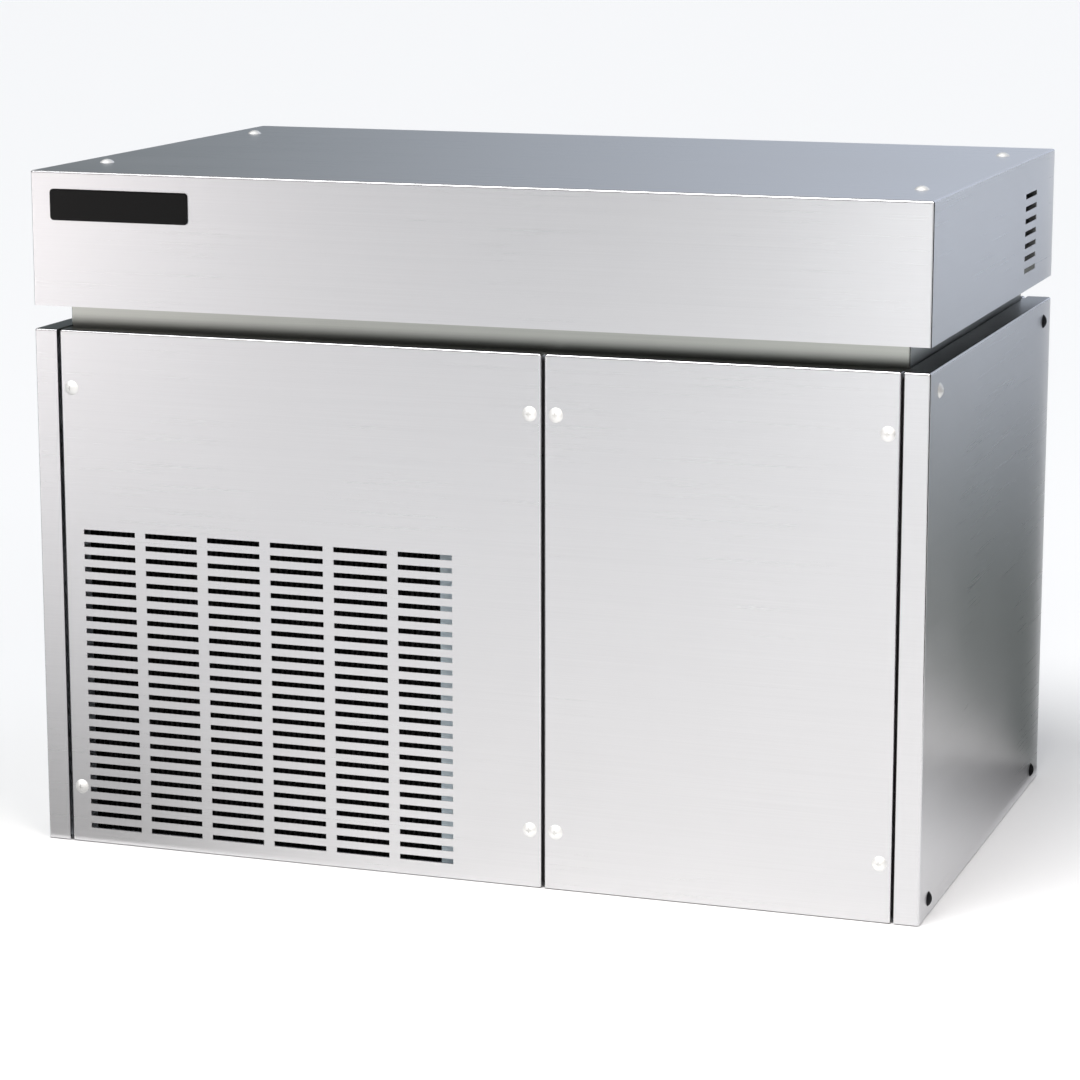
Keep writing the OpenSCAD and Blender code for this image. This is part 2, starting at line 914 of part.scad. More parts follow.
module neck_frame() {
    color("darkgray")
        translate([0, 0, neck_top])
            tray(neck_w, neck_d, neck_top - deck_top) {
                square([neck_w - 2 * neck_lip, neck_d - 2 * neck_lip], center = true);
                cover_holes();
            }
}

module top_cover() {
    color("lightsteelblue")
        difference() {
            translate([0, 0, body_h])
                tray(body_w, body_d, cover_h)
                    cover_holes();
            translate([inner_x - cut, rear_y - vent_rear - slot_len, body_h - vent_top - slot_h / 2])
                for (j = [0 : vent_rows - 1])
                    translate([0, 0, -j * slot_pitch_z])
                        cube([sheet_t + 2 * cut, slot_len, slot_h]);
        }
}

module cover_insulation() {
    pad = [neck_w - 2 * neck_lip - 2 * insulation_gap, neck_d - 2 * neck_lip - 2 * insulation_gap];
    color("dimgray")
        translate([-pad[0] / 2, -pad[1] / 2, neck_top - insulation_t])
            cube([pad[0], pad[1], insulation_t]);
}

module badge_plate() {
    color("black")
        translate([-side_x + badge_left, front_y, body_h - badge_top - badge_h])
            rotate([90, 0, 0])
                linear_extrude(badge_t) {
                    translate([badge_r, 0])
                        square([badge_w - 2 * badge_r, badge_h]);
                    translate([0, badge_r])
                        square([badge_w, badge_h - 2 * badge_r]);
                    for (x = [badge_r, badge_w - badge_r], y = [badge_r, badge_h - badge_r])
                        translate([x, y])
                            circle(badge_r);
                }
}

module panel_screws() {
    long = panel_fold + frame_t + screw_tail;
    short = sheet_t + frame_t + screw_tail;
    color("white") {
        for (x = front_screw_xs, z = front_screw_zs)
            translate([x, front_y, z])
                rotate([90, 0, 0])
                    screw(long);
        for (s = [-1, 1], z = front_screw_zs)
            translate([s * rear_screw_x, rear_y, z])
                rotate([-90, 0, 0])
                    screw(long);
        for (sx = [-1, 1], sy = [-1, 1], z = side_screw_zs)
            translate([sx * side_x, sy * side_screw_y, z])
                rotate([0, 90 * sx, 0])
                    screw(short);
    }
}

module cover_screws() {
    color("white")
        for (c = corners)
            translate([c[0] * cover_screw_x, c[1] * cover_screw_dy, body_h])
                screw(2 * sheet_t + screw_tail);
}

// lower part of a disc round the drum's axis, cut off at a rim, as seen along X
module trough_2d(r, rim) {
    intersection() {
        translate([drum_y, drum_z])
            circle(r);
        translate([drum_y - r, drum_z - r])
            square([2 * r, rim - drum_z + r]);
    }
}

module water_tank() {
    color("whitesmoke") {
        difference() {
            translate([tank_x0, 0, 0])
                rotate([90, 0, 90])
                    linear_extrude(tank_x1 - tank_x0)
                        trough_2d(tank_r, tank_rim);
            translate([tank_x0 + tank_wall, 0, 0])
                rotate([90, 0, 90])
                    linear_extrude(tank_x1 - tank_x0 - 2 * tank_wall)
                        trough_2d(tank_in_r, tank_rim + cut);
        }
        translate([0, drum_y, 0])
            for (s = [0, 1])
                mirror([0, s, 0])
                    block([tank_x0, tank_half - flange_root, deck_top],
                        [tank_x1, flange_y, deck_top + flange_t]);
    }
}

module evaporator_drum() {
    color("gainsboro")
        difference() {
            union() {
                rod_x(drum_d, drum_x0, drum_x1, drum_y, drum_z);
                rod_x(journal_d, journal_x0, journal_x1, drum_y, drum_z);
            }
            rod_x(drum_d - 2 * drum_wall, drum_x0 + drum_end_t, drum_x1 - drum_end_t, drum_y, drum_z);
            rod_x(feed_bore, journal_x0 - cut, drum_x0 + drum_end_t + cut, drum_y, drum_z);
        }
}

module output_sleeve() {
    color("slategray")
        difference() {
            rod_x(sleeve_d, gear_x0, gear_x1, drum_y, drum_z);
            rod_x(journal_d + 2 * push_gap, gear_x0 - cut, gear_x1 + cut, drum_y, drum_z);
        }
}

// a pillow bearing standing on the deck
module pillow_bearing(x) {
    difference() {
        union() {
            rod_x(2 * bearing_r, x, x + bearing_w, drum_y, drum_z);
            block([x, drum_y - bearing_r, deck_top], [x + bearing_w, drum_y + bearing_r, drum_z]);
            block([x, drum_y - bearing_base_w / 2, deck_top],
                [x + bearing_w, drum_y + bearing_base_w / 2, deck_top + bearing_base_t]);
        }
        rod_x(journal_d + 2 * run_gap, x - cut, x + bearing_w + cut, drum_y, drum_z);
    }
}
module left_bearing() {
    color("steelblue")
        pillow_bearing(left_bearing_x);
}
module right_bearing() {
    color("steelblue")
        pillow_bearing(right_bearing_x);
}

module rotary_joint() {
    foot_x = (rotary_x0 + rotary_x1 - rotary_foot[0]) / 2;
    color("goldenrod")
        difference() {
            union() {
                rod_x(2 * rotary_r, rotary_x0, rotary_x1, drum_y, drum_z);
                block([foot_x, drum_y - rotary_foot[1] / 2, deck_top],
                    [foot_x + rotary_foot[0], drum_y + rotary_foot[1] / 2, drum_z]);
            }
            rod_x(journal_d + 2 * run_gap, journal_x0 - shaft_gap, rotary_x1 + cut, drum_y, drum_z);
        }
}

module scraper_blade() {
    color("lightgray")
        difference() {
            translate([drum_x0, 0, 0])
                rotate([90, 0, 90])
                    linear_extrude(drum_len)
                        polygon([
                            scraper_point(0, 0),
                            scraper_point(scraper_w, 0),
                            scraper_point(scraper_w, -scraper_t),
                            scraper_point(scraper_bevel, -scraper_t)
                        ]);
            blade_screw_holes();
        }
}

module scraper_holder() {
    color("gray")
        difference() {
            translate([drum_x0, 0, 0])
                rotate([90, 0, 90])
                    linear_extrude(drum_len)
                        polygon([
                            [holder_y0, holder_low],
                            [holder_y1, holder_low],
                            [holder_y1, blade_under(holder_y1)],
                            [holder_y0, blade_under(holder_y0)]
                        ]);
            blade_screw_holes();
        }
}

// places its children at each screw of the blade, with +Z standing up from the blade
module at_blade_screws() {
    p = scraper_point(blade_screw_s, 0);
    for (i = [0 : scraper_screws_n - 1])
        translate([drum_x0 + (i + 0.5) * blade_screw_pitch, p[0], p[1]])
            rotate([scraper_slope, 0, 0])
                children();
}
module blade_screw_holes() {
    at_blade_screws()
        translate([0, 0, -blade_screw_l - cut])
            cylinder(d = blade_screw_d + 2 * hole_gap, h = blade_screw_l + 2 * cut);
}
module scraper_screws() {
    color("white")
        at_blade_screws()
            screw(blade_screw_l, blade_screw_d, blade_head_d, blade_head_h);
}

module gear_case() {
    boss_x0 = gear_x0 - gear_boss_out;
    boss_x1 = gear_x1 + gear_boss_out;
    color("dimgray")
        difference() {
            union() {
                block([gear_x0, gear_y0, deck_top], [gear_x1, gear_y1, deck_top + gear_h]);
                block([gear_x0, gear_y0 - gear_foot_out, deck_top],
                    [gear_x1, gear_y1 + gear_foot_out, deck_top + gear_foot_t]);
                rod_x(2 * gear_boss_r, boss_x0, boss_x1, drum_y, drum_z);
            }
            rod_x(sleeve_d + 2 * run_gap, boss_x0 - cut, boss_x1 + cut, drum_y, drum_z);
        }
}

module drive_motor() {
    rib_gap = (motor_len - 2 * motor_flange_t) / motor_ribs;
    core_d = motor_d - 2 * motor_rib_h;
    color("dimgray") {
        rod_y(motor_d, gear_y1, gear_y1 + motor_flange_t, motor_x, motor_z);
        rod_y(core_d, gear_y1, gear_y1 + motor_len, motor_x, motor_z);
        for (i = [1 : motor_ribs])
            rod_y(motor_d, gear_y1 + motor_flange_t + (i - 0.5) * rib_gap,
                gear_y1 + motor_flange_t + i * rib_gap, motor_x, motor_z);
        translate([motor_x, gear_y1 + motor_flange_t, motor_z + core_d / 2 - motor_rib_h])
            translate([-terminal_box[0] / 2, 0, 0])
                cube(terminal_box);
    }
}

// the chute seen from the front, grown inwards by a wall
module chute_2d(wall, over) {
    slope = (chute_shoulder - chute_knee) / (chute_low_x - chute_x0);
    lift = wall * (sqrt(1 + pow(slope, 2)) - slope);
    polygon([
        [chute_x0 + wall, deck_top + flange_t + over],
        [chute_x0 + wall, chute_shoulder + lift],
        [chute_low_x + wall, chute_knee + lift],
        [chute_low_x + wall, chute_low - over],
        [chute_x1 - wall, chute_low - over],
        [chute_x1 - wall, deck_top + flange_t + over]
    ]);
}
module ice_chute() {
    color("whitesmoke")
        difference() {
            union() {
                translate([0, chute_y1, 0])
                    rotate([90, 0, 0])
                        linear_extrude(chute_d)
                            chute_2d(0, 0);
                block([chute_x0 - chute_flange, chute_y0 - chute_flange, deck_top],
                    [chute_x1 + chute_flange, chute_y1, deck_top + flange_t]);
            }
            translate([0, chute_y1 - chute_wall, 0])
                rotate([90, 0, 0])
                    linear_extrude(chute_d - 2 * chute_wall)
                        chute_2d(chute_wall, cut);
        }
}

module float_box() {
    y0 = float_y - float_box_w / 2;
    color("whitesmoke")
        difference() {
            block([float_x0, y0, deck_top], [float_x1, y0 + float_box_w, deck_top + float_box_h]);
            block([float_x0 + float_wall, y0 + float_wall, deck_top + float_wall],
                [float_x1 - float_wall, y0 + float_box_w - float_wall, deck_top + float_box_h + cut]);
            rod_x(valve_d + 2 * hole_gap, float_x0 - cut, float_x0 + float_wall + cut,
                float_y, float_valve_z);
        }
}

module float_valve() {
    ear_y = arm_w / 2 + arm_side_gap;
    body_x1 = pivot_x - eye_d / 2 - eye_gap;
    color("goldenrod") {
        rod_x(valve_d, float_x0 - valve_out, body_x1, float_y, float_valve_z);
        rod_x(valve_flange_d, float_x0 - flange_t, float_x0, float_y, float_valve_z);
        for (s = [0, 1])
            translate([0, float_y, 0])
                mirror([0, s, 0])
                    block([body_x1 - ear_t, ear_y, float_valve_z - eye_d / 2],
                        [pivot_x + eye_d / 2, ear_y + ear_t, float_valve_z + eye_d / 2]);
        rod_y(pivot_d, float_y - ear_y - ear_t, float_y + ear_y + ear_t, pivot_x, float_valve_z);
    }
}

module float_arm() {
    arm_h = eye_d / 2;
    stem_l = float_drop - float_d / 2 + stem_sink;
    color("goldenrod")
        difference() {
            union() {
                rod_y(eye_d, float_y - arm_w / 2, float_y + arm_w / 2, pivot_x, float_valve_z);
                block([pivot_x, float_y - arm_w / 2, float_valve_z - arm_h / 2],
                    [pivot_x + float_reach + arm_h, float_y + arm_w / 2, float_valve_z + arm_h / 2]);
                translate([pivot_x + float_reach, float_y, float_valve_z - stem_l])
                    cylinder(d = stem_d, h = stem_l);
            }
            rod_y(pivot_d + 2 * run_gap, float_y - arm_w, float_y + arm_w, pivot_x, float_valve_z);
        }
}

module float_ball() {
    color("orangered")
        translate([pivot_x + float_reach, float_y, float_valve_z - float_drop])
            difference() {
                sphere(d = float_d);
                translate([0, 0, float_d / 2 - stem_sink - push_gap])
                    cylinder(d = stem_d + 2 * push_gap, h = stem_sink + cut);
            }
}

module link_pipe() {
    color("whitesmoke")
        rod_x(link_d, float_x1, tank_x0, float_y, link_z);
}

module inlet_valve() {
    block_y1 = rear_y - sheet_t;
    block_y0 = block_y1 - valve_block[1];
    color("steelblue") {
        difference() {
            union() {
                block([inlet_x - valve_block[0] / 2, block_y0, inlet_z - valve_block[2] / 2],
                    [inlet_x + valve_block[0] / 2, block_y1, inlet_z + valve_block[2] / 2]);
                rod_y(inlet_d + collar_step, block_y1 - cut, rear_y + collar_out, inlet_x, inlet_z);
                rod_y(inlet_d, block_y1 - cut, rear_y + spigot_out, inlet_x, inlet_z);
            }
            rod_y(inlet_d - 2 * nipple_wall, rear_y, rear_y + spigot_out + cut, inlet_x, inlet_z);
        }
        translate([inlet_x - valve_block[0] / 2 - coil_block[0], block_y0 + cut, inlet_z - coil_block[2] / 2])
            cube(coil_block);
        translate([inlet_x, hose_y, inlet_z])
            cylinder(d = outlet_d, h = valve_block[2] / 2 + outlet_l);
    }
}

module inlet_hose() {
    color("gray")
        bent_tube([
            [inlet_x, hose_y, inlet_z + valve_block[2] / 2 + outlet_l],
            [inlet_x, hose_y, hose_z],
            [hose_x, hose_y, hose_z],
            [hose_x, float_y, hose_z],
            [hose_x, float_y, float_valve_z],
            [float_x0 - valve_out, float_y, float_valve_z]
        ], hose_d, hose_bend);
}

module drain_pipe() {
    color("gray")
        difference() {
            union() {
                bent_tube([
                    [drain_x, drum_y, tank_low - butt_gap],
                    [drain_x, drum_y, drain_z],
                    [drain_x, rear_y + spigot_out, drain_z]
                ], drain_d, drain_bend);
                rod_y(drain_d + collar_step, rear_y - sheet_t - collar_out, rear_y + collar_out,
                    drain_x, drain_z);
            }
            rod_y(drain_d - 2 * drain_wall, drum_y + drain_bend, rear_y + spigot_out + cut, drain_x, drain_z);
        }
}

module cable_gland() {
    nut_y1 = rear_y - sheet_t;
    nut_y0 = nut_y1 - gland_nut_l;
    head_y1 = rear_y + gland_head_l;
    color("black")
        difference() {
            union() {
                rod_y(gland_thread_d, nut_y0 - gland_tail, head_y1, gland_x, gland_z);
                rod_y(gland_head_d, rear_y, head_y1 - gland_tail, gland_x, gland_z);
                rod_y(gland_head_d, nut_y0, nut_y1, gland_x, gland_z);
            }
            rod_y(gland_bore, nut_y0 - gland_tail - cut, head_y1 + cut, gland_x, gland_z);
        }
}

// a round shell with domed ends
module domed_shell(d, h) {
    intersection() {
        cylinder(d = d, h = h);
        translate([0, 0, h / 2])
            sphere(d = h);
    }
}

module compressor() {
    plate = [2 * comp_feet_x + foot_d, 2 * comp_feet_y + foot_d];
    color("black")
        translate([comp_x, comp_y, comp_z0]) {
            domed_shell(comp_d, comp_h);
            translate([0, 0, (comp_h - belt_h) / 2])
                cylinder(d = comp_d + 2 * belt_out, h = belt_h);
            translate([-plate[0] / 2, -plate[1] / 2, comp_sink])
                cube([plate[0], plate[1], comp_plate_t]);
        }
}

module terminal_cover() {
    color("dimgray")
        difference() {
            translate([comp_x, comp_y - comp_d / 2, comp_mid + 2 * belt_h])
                translate([-terminal_cap[0] / 2, -terminal_cap[1] / 2, 0])
                    cube(terminal_cap);
            translate([comp_x, comp_y, 0])
                cylinder(d = comp_d + 2 * shell_gap, h = cabinet_h);
        }
}

module compressor_feet() {
    color("black")
        for (c = corners)
            translate([comp_x + c[0] * comp_feet_x, comp_y + c[1] * comp_feet_y, frame_t])
                cylinder(d = foot_d, h = foot_h);
}

module condenser_fins() {
    y0 = cond_yc - fin_d / 2;
    y1 = cond_yc + fin_d / 2;
    profile = [[0, 0], [0.5, 0], [0.5, fin_groove], [1, fin_groove]];
    front = [for (i = [0 : fin_n - 1], p = profile) [fin_x0 + (i + p[0]) * fin_pitch, y0 + p[1]]];
    back = [for (p = front) [p[0], y0 + y1 - p[1]]];
    turned = [for (i = [len(back) - 1 : -1 : 0]) back[i]];
    color("dimgray")
        translate([0, 0, frame_t + sheet_t])
            linear_extrude(cond_h - 2 * sheet_t)
                polygon(concat(front, [[fin_x1, y0 + fin_groove], [fin_x1, y1 - fin_groove]], turned));
}

module condenser_frame() {
    top_z = frame_t + cond_h;
    color("lightsteelblue") {
        difference() {
            block([cond_x0, cond_y0, frame_t], [cond_x1, cond_y1, top_z]);
            block([fin_x0, cond_y0 - cut, frame_t + sheet_t], [fin_x1, cond_y1 + cut, top_z - sheet_t]);
        }
        block([cond_x1 - sheet_t, cond_y0, frame_t], [cond_x1 + cond_flange, cond_y0 + sheet_t, top_z]);
    }
}

// half ring joining two tubes, from the origin to a point across, bulging to +X
module return_bend(dy, dz) {
    span = norm([dy, dz]);
    translate([0, dy / 2, dz / 2])
        rotate([atan2(dz, dy), 0, 0])
            rotate([0, 0, -90])
                rotate_extrude(angle = 180)
                    translate([span / 2, 0])
                        circle(d = tube_d);
}

module return_bends() {
    front_row = cond_yc - row_dy / 2;
    color("peru") {
        for (k = [0 : tube_n - 1])
            translate([cond_x0, front_row, tube_z0 + k * tube_pitch])
                mirror([1, 0, 0])
                    return_bend(row_dy, 0);
        for (k = [1 : tube_n - 1])
            translate([cond_x1, front_row, tube_z0 + k * tube_pitch])
                return_bend(row_dy, -tube_pitch);
    }
}

module fan_shroud() {
    plate_y1 = cond_y1 + sheet_t;
    color("silver")
        difference() {
            union() {
                block([cond_x0, cond_y1, frame_t], [cond_x1, plate_y1, frame_t + cond_h]);
                rod_y(fan_ring_d + 2 * sheet_t, cond_y1, cond_y1 + fan_ring_l, fan_x, fan_z);
            }
            rod_y(fan_ring_d, cond_y1 - cut, cond_y1 + fan_ring_l + cut, fan_x, fan_z);
        }
}

module fan_bracket() {
    plate_y1 = cond_y1 + sheet_t;
    z0 = fan_z - strap_w / 2;
    z1 = fan_z + strap_w / 2;
    color("silver")
        difference() {
            union() {
                block([fan_x - strap_half, strap_y, z0], [fan_x + strap_half, strap_y + strap_t, z1]);
                for (s = [0, 1])
                    translate([fan_x, 0, 0])
                        mirror([s, 0, 0]) {
                            block([strap_half - strap_t, plate_y1, z0], [strap_half, strap_y + strap_t, z1]);
                            block([strap_half - strap_t, plate_y1, z0],
                                [strap_half + strap_foot, plate_y1 + strap_t, z1]);
                        }
            }
            rod_y(fan_boss_d + 2 * hole_gap, strap_y - cut, strap_y + strap_t + cut, fan_x, fan_z);
        }
}

module fan_motor() {
    back_y = strap_y + strap_t;
    color("dimgray")
        difference() {
            union() {
                rod_y(fan_motor_d, back_y, back_y + fan_motor_l, fan_x, fan_z);
                rod_y(fan_boss_d, back_y - fan_boss_l, back_y + cut, fan_x, fan_z);
            }
            rod_y(fan_shaft_d + 2 * run_gap, back_y - fan_boss_l - cut, back_y + shaft_in, fan_x, fan_z);
        }
}

module fan_shaft() {
    color("gainsboro")
        rod_y(fan_shaft_d, hub_y, strap_y + strap_t + shaft_in - cut, fan_x, fan_z);
}

// one face of a fan blade's section: an arc of a given chord and camber, thinning to its edges
function blade_arc(side) = [for (i = [-blade_steps : blade_steps])
    let (u = i / blade_steps)
    [u * blade_chord / 2, blade_camber * (1 - pow(u, 2)) + side * blade_t / 2 * (1 - pow(u, 4))]];
// a twisted blade standing along +Z, cut off round at its tip
module fan_blade() {
    root = hub_d / 4;
    upper = blade_arc(1);
    lower = blade_arc(-1);
    intersection() {
        translate([0, 0, root])
            linear_extrude(fan_d / 2 - root, twist = blade_twist, slices = blade_slices)
                polygon(concat(upper, [for (j = [len(lower) - 2 : -1 : 1]) lower[j]]));
        rod_y(fan_d, -blade_chord, blade_chord, 0, 0);
    }
}
module fan_blades() {
    color("dimgray")
        difference() {
            union() {
                rod_y(hub_d, hub_y, hub_y + hub_l, fan_x, fan_z);
                for (i = [0 : fan_n - 1])
                    translate([fan_x, hub_y + hub_l / 2, fan_z])
                        rotate([0, i * 360 / fan_n, 0])
                            rotate([0, 0, blade_pitch])
                                fan_blade();
            }
            rod_y(fan_shaft_d + 2 * push_gap, hub_y - cut, hub_y + hub_l + cut, fan_x, fan_z);
        }
}

module receiver() {
    color("black")
        translate([receiver_x, receiver_y, frame_t]) {
            domed_shell(receiver_d, receiver_h);
            cylinder(d = receiver_d - 2 * receiver_foot_step, h = receiver_foot_h);
        }
}

module filter_drier() {
    r = drier_d / 2;
    stub_r = liquid_d / 2;
    z1 = drier_stub + drier_l;
    color("peru")
        translate([receiver_x, receiver_y, receiver_top + butt_gap])
            rotate_extrude()
                polygon([
                    [0, 0],
                    [stub_r, 0],
                    [stub_r, drier_stub],
                    [r, drier_stub + drier_cone],
                    [r, z1 - drier_cone],
                    [stub_r, z1],
                    [stub_r, z1 + drier_stub - butt_gap],
                    [0, z1 + drier_stub - butt_gap]
                ]);
}

module expansion_valve() {
    color("goldenrod") {
        translate([exp_x, receiver_y, exp_low])
            cylinder(d = exp_d, h = exp_h);
        translate([exp_x, receiver_y, exp_low + exp_h])
            cylinder(d = exp_cap_d, h = exp_cap_h);
        rod_y(discharge_d, receiver_y, drum_y - rotary_r - butt_gap, exp_x, drum_z);
    }
}

module discharge_pipe() {
    color("peru")
        bent_tube([
            [comp_x + comp_d / 2 + butt_gap, comp_y, discharge_z],
            [discharge_x, comp_y, discharge_z],
            [discharge_x, comp_y, tube_top],
            [discharge_x, cond_yc + row_dy / 2, tube_top],
            [cond_x1, cond_yc + row_dy / 2, tube_top]
        ], discharge_d, pipe_bend);
}

module liquid_pipe() {
    front_row = cond_yc - row_dy / 2;
    inlet_up = receiver_top - receiver_port_drop;
    color("peru")
        bent_tube([
            [cond_x1, front_row, tube_z0],
            [receiver_x, front_row, tube_z0],
            [receiver_x, front_row, inlet_up],
            [receiver_x, receiver_y - receiver_d / 2 - butt_gap, inlet_up]
        ], liquid_d, pipe_bend);
}

module feed_pipe() {
    color("peru")
        bent_tube([
            [receiver_x, receiver_y, drier_top],
            [receiver_x, receiver_y, feed_z],
            [exp_x, receiver_y, feed_z],
            [exp_x, receiver_y, exp_low]
        ], liquid_d, pipe_bend);
}

module suction_pipe() {
    color("peru")
        bent_tube([
            [rotary_x0, drum_y, drum_z],
            [suction_x, drum_y, drum_z],
            [suction_x, drum_y, suction_z],
            [suction_x, suction_y, suction_z],
            [comp_x, suction_y, suction_z],
            [comp_x, suction_y, suction_in_z],
            [comp_x, comp_y + comp_d / 2 + butt_gap, suction_in_z]
        ], suction_d, suction_bend);
}

module control_box() {
    back_y = control_y0 + control_d;
    top_z = frame_t + control_h;
    color("silver")
        difference() {
            block([control_x0, control_y0, frame_t], [control_x1, back_y, top_z]);
            block([control_x0 + control_wall, control_y0 - cut, frame_t + control_wall],
                [control_x1 - control_wall, back_y - control_wall, top_z - control_wall]);
        }
}

module control_lid() {
    color("silver")
        translate([(control_x0 + control_x1) / 2, control_y0 - lid_fold, frame_t + control_h / 2])
            rotate([90, 0, 0])
                tray(control_w, control_h, lid_fold);
}

base_tray();
deck_plate();
front_left_post();
front_right_post();
rear_left_post();
rear_right_post();
centre_post();
left_side_panel();
right_side_panel();
louvre_panel();
service_panel();
rear_panel();
neck_frame();
top_cover();
cover_insulation();
badge_plate();
panel_screws();
cover_screws();
water_tank();
evaporator_drum();
output_sleeve();
left_bearing();
right_bearing();
rotary_joint();
scraper_blade();
scraper_holder();
scraper_screws();
gear_case();
drive_motor();
ice_chute();
float_box();
float_valve();
float_arm();
float_ball();
link_pipe();
inlet_valve();
inlet_hose();
drain_pipe();
cable_gland();
compressor();
terminal_cover();
compressor_feet();
condenser_fins();
condenser_frame();
return_bends();
fan_shroud();
fan_bracket();
fan_motor();
fan_shaft();
fan_blades();
receiver();
filter_drier();
expansion_valve();
discharge_pipe();
liquid_pipe();
feed_pipe();
suction_pipe();
control_box();
control_lid();
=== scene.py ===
# %% [markdown]
# A modular flake ice machine: a low stainless cabinet that stands on an ice bin. Its solids come from the
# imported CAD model, in metres, with the front facing -Y. This script gives every surface its finish, adds
# the small fittings that the solids leave plain, and sets up a pale studio with the photograph's
# viewpoint.

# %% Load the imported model
import json
import math

import bpy
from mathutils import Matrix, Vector


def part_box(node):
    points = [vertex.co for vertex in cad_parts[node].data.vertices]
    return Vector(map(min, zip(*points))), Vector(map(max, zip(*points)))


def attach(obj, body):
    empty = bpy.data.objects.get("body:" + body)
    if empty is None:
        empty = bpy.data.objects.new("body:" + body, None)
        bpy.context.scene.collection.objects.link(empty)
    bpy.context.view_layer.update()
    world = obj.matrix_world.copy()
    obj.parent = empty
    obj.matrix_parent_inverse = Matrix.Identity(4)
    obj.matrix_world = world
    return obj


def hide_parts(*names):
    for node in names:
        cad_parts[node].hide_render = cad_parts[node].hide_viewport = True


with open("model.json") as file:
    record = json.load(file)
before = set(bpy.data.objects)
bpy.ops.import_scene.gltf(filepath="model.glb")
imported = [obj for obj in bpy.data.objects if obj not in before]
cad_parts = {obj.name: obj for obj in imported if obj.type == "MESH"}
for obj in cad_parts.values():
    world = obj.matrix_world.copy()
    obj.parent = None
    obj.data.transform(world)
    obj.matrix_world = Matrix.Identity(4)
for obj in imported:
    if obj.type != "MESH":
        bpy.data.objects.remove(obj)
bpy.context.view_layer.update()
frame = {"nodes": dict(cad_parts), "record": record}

nodes = frame["nodes"]

# %% [markdown]
# Finishes are built from shader nodes. Wiring nodes by hand hides the idea, so three small classes do it.
# A Reading is a number that changes over the surface, and arithmetic on it adds Math nodes. A Shading is a
# node tree with a single method that adds any other node, and a Finish is the Shading of one material.

# %% Readings
class Reading:
    """A node's output; an expression on readings adds the Math nodes that work it out."""

    def __init__(self, shading, socket):
        self.shading = shading
        self.socket = socket

    def other(self, name):
        """Another output of the same node."""
        return Reading(self.shading, self.socket.node.outputs[name])

    def math(self, operation, *terms):
        return self.shading.node("Math", {"operation": operation}, dict(enumerate(terms)))

    def __add__(self, term):
        return self.math("ADD", self, term)

    def __radd__(self, term):
        return self.math("ADD", term, self)

    def __sub__(self, term):
        return self.math("SUBTRACT", self, term)

    def __rsub__(self, term):
        return self.math("SUBTRACT", term, self)

    def __mul__(self, term):
        return self.math("MULTIPLY", self, term)

    def __gt__(self, term):
        return self.math("GREATER_THAN", self, term)

    def __abs__(self):
        return self.math("ABSOLUTE", self)

    def largest(self, term):
        return self.math("MAXIMUM", self, term)

    def wave(self):
        return self.math("SINE", self)

    def ramp(self, low, high):
        """0 below low, 1 above high and a smooth step between them."""
        settings = {"interpolation_type": "SMOOTHSTEP"}
        return self.shading.node("MapRange", settings, {"Value": self, "From Min": low, "From Max": high})


print("readings can be added, taken away, multiplied and compared")


# %% Node trees
class Shading:
    """A node tree, with the few nodes that this object's surfaces and its sky need."""

    def __init__(self, tree):
        self.tree = tree

    def node(self, kind, settings=None, inputs=None, output=0):
        node = self.tree.nodes.new("ShaderNode" + kind)
        for name, value in (settings or {}).items():
            setattr(node, name, value)
        for name, value in (inputs or {}).items():
            self.set(node.inputs[name], value)
        return Reading(self, node.outputs[output])

    def set(self, socket, value):
        if isinstance(value, Reading):
            self.tree.links.new(value.socket, socket)
        else:
            socket.default_value = value

    def split(self, coordinate):
        """X, Y and Z of one of the texture coordinates."""
        x = self.node("SeparateXYZ", inputs={0: self.node("TexCoord", output=coordinate)})
        return x, x.other("Y"), x.other("Z")

    def vector(self, x, y, z):
        return self.node("CombineXYZ", inputs={0: x, 1: y, 2: z})

    def noise(self, vector, scale, detail=2.0, roughness=0.5):
        inputs = {"Vector": vector, "Scale": scale, "Detail": detail, "Roughness": roughness}
        return self.node("TexNoise", inputs=inputs)

    def blend(self, factor, first, second):
        """A colour between two colours."""
        return self.node("Mix", {"data_type": "RGBA"}, {0: factor, 6: first, 7: second}, output=2)

    def bump(self, height, distance, strength):
        return self.node("Bump", inputs={"Height": height, "Distance": distance, "Strength": strength})


print("node trees ready")


# %% Finishes and colours
class Finish(Shading):
    """One material: constants go straight on its shader, and what varies is fed to it."""

    def __init__(self, name, constants):
        self.material = bpy.data.materials.new(name)
        self.material.use_nodes = True
        super().__init__(self.material.node_tree)
        self.shader = self.tree.nodes["Principled BSDF"]
        for socket, value in constants.items():
            self.shader.inputs[socket].default_value = value

    def feed(self, **inputs):
        """Feeds the shader: base_color=... goes to Base Color."""
        for name, value in inputs.items():
            self.set(self.shader.inputs[name.replace("_", " ").title()], value)

    def spot(self):
        """The point itself, in metres."""
        return self.node("TexCoord", output="Object")

    def place(self):
        """X, Y and Z of the point, in metres."""
        return self.split("Object")

    def facing(self):
        """How far the surface faces along X, Y and Z, each from 0 to 1."""
        return [abs(part) for part in self.split("Normal")]


def rgb(red, green, blue):
    return (red, green, blue, 1.0)


def grey(tone):
    return rgb(tone, tone, tone)


def shaded(colour, share):
    return rgb(*[channel * share for channel in colour[:3]])


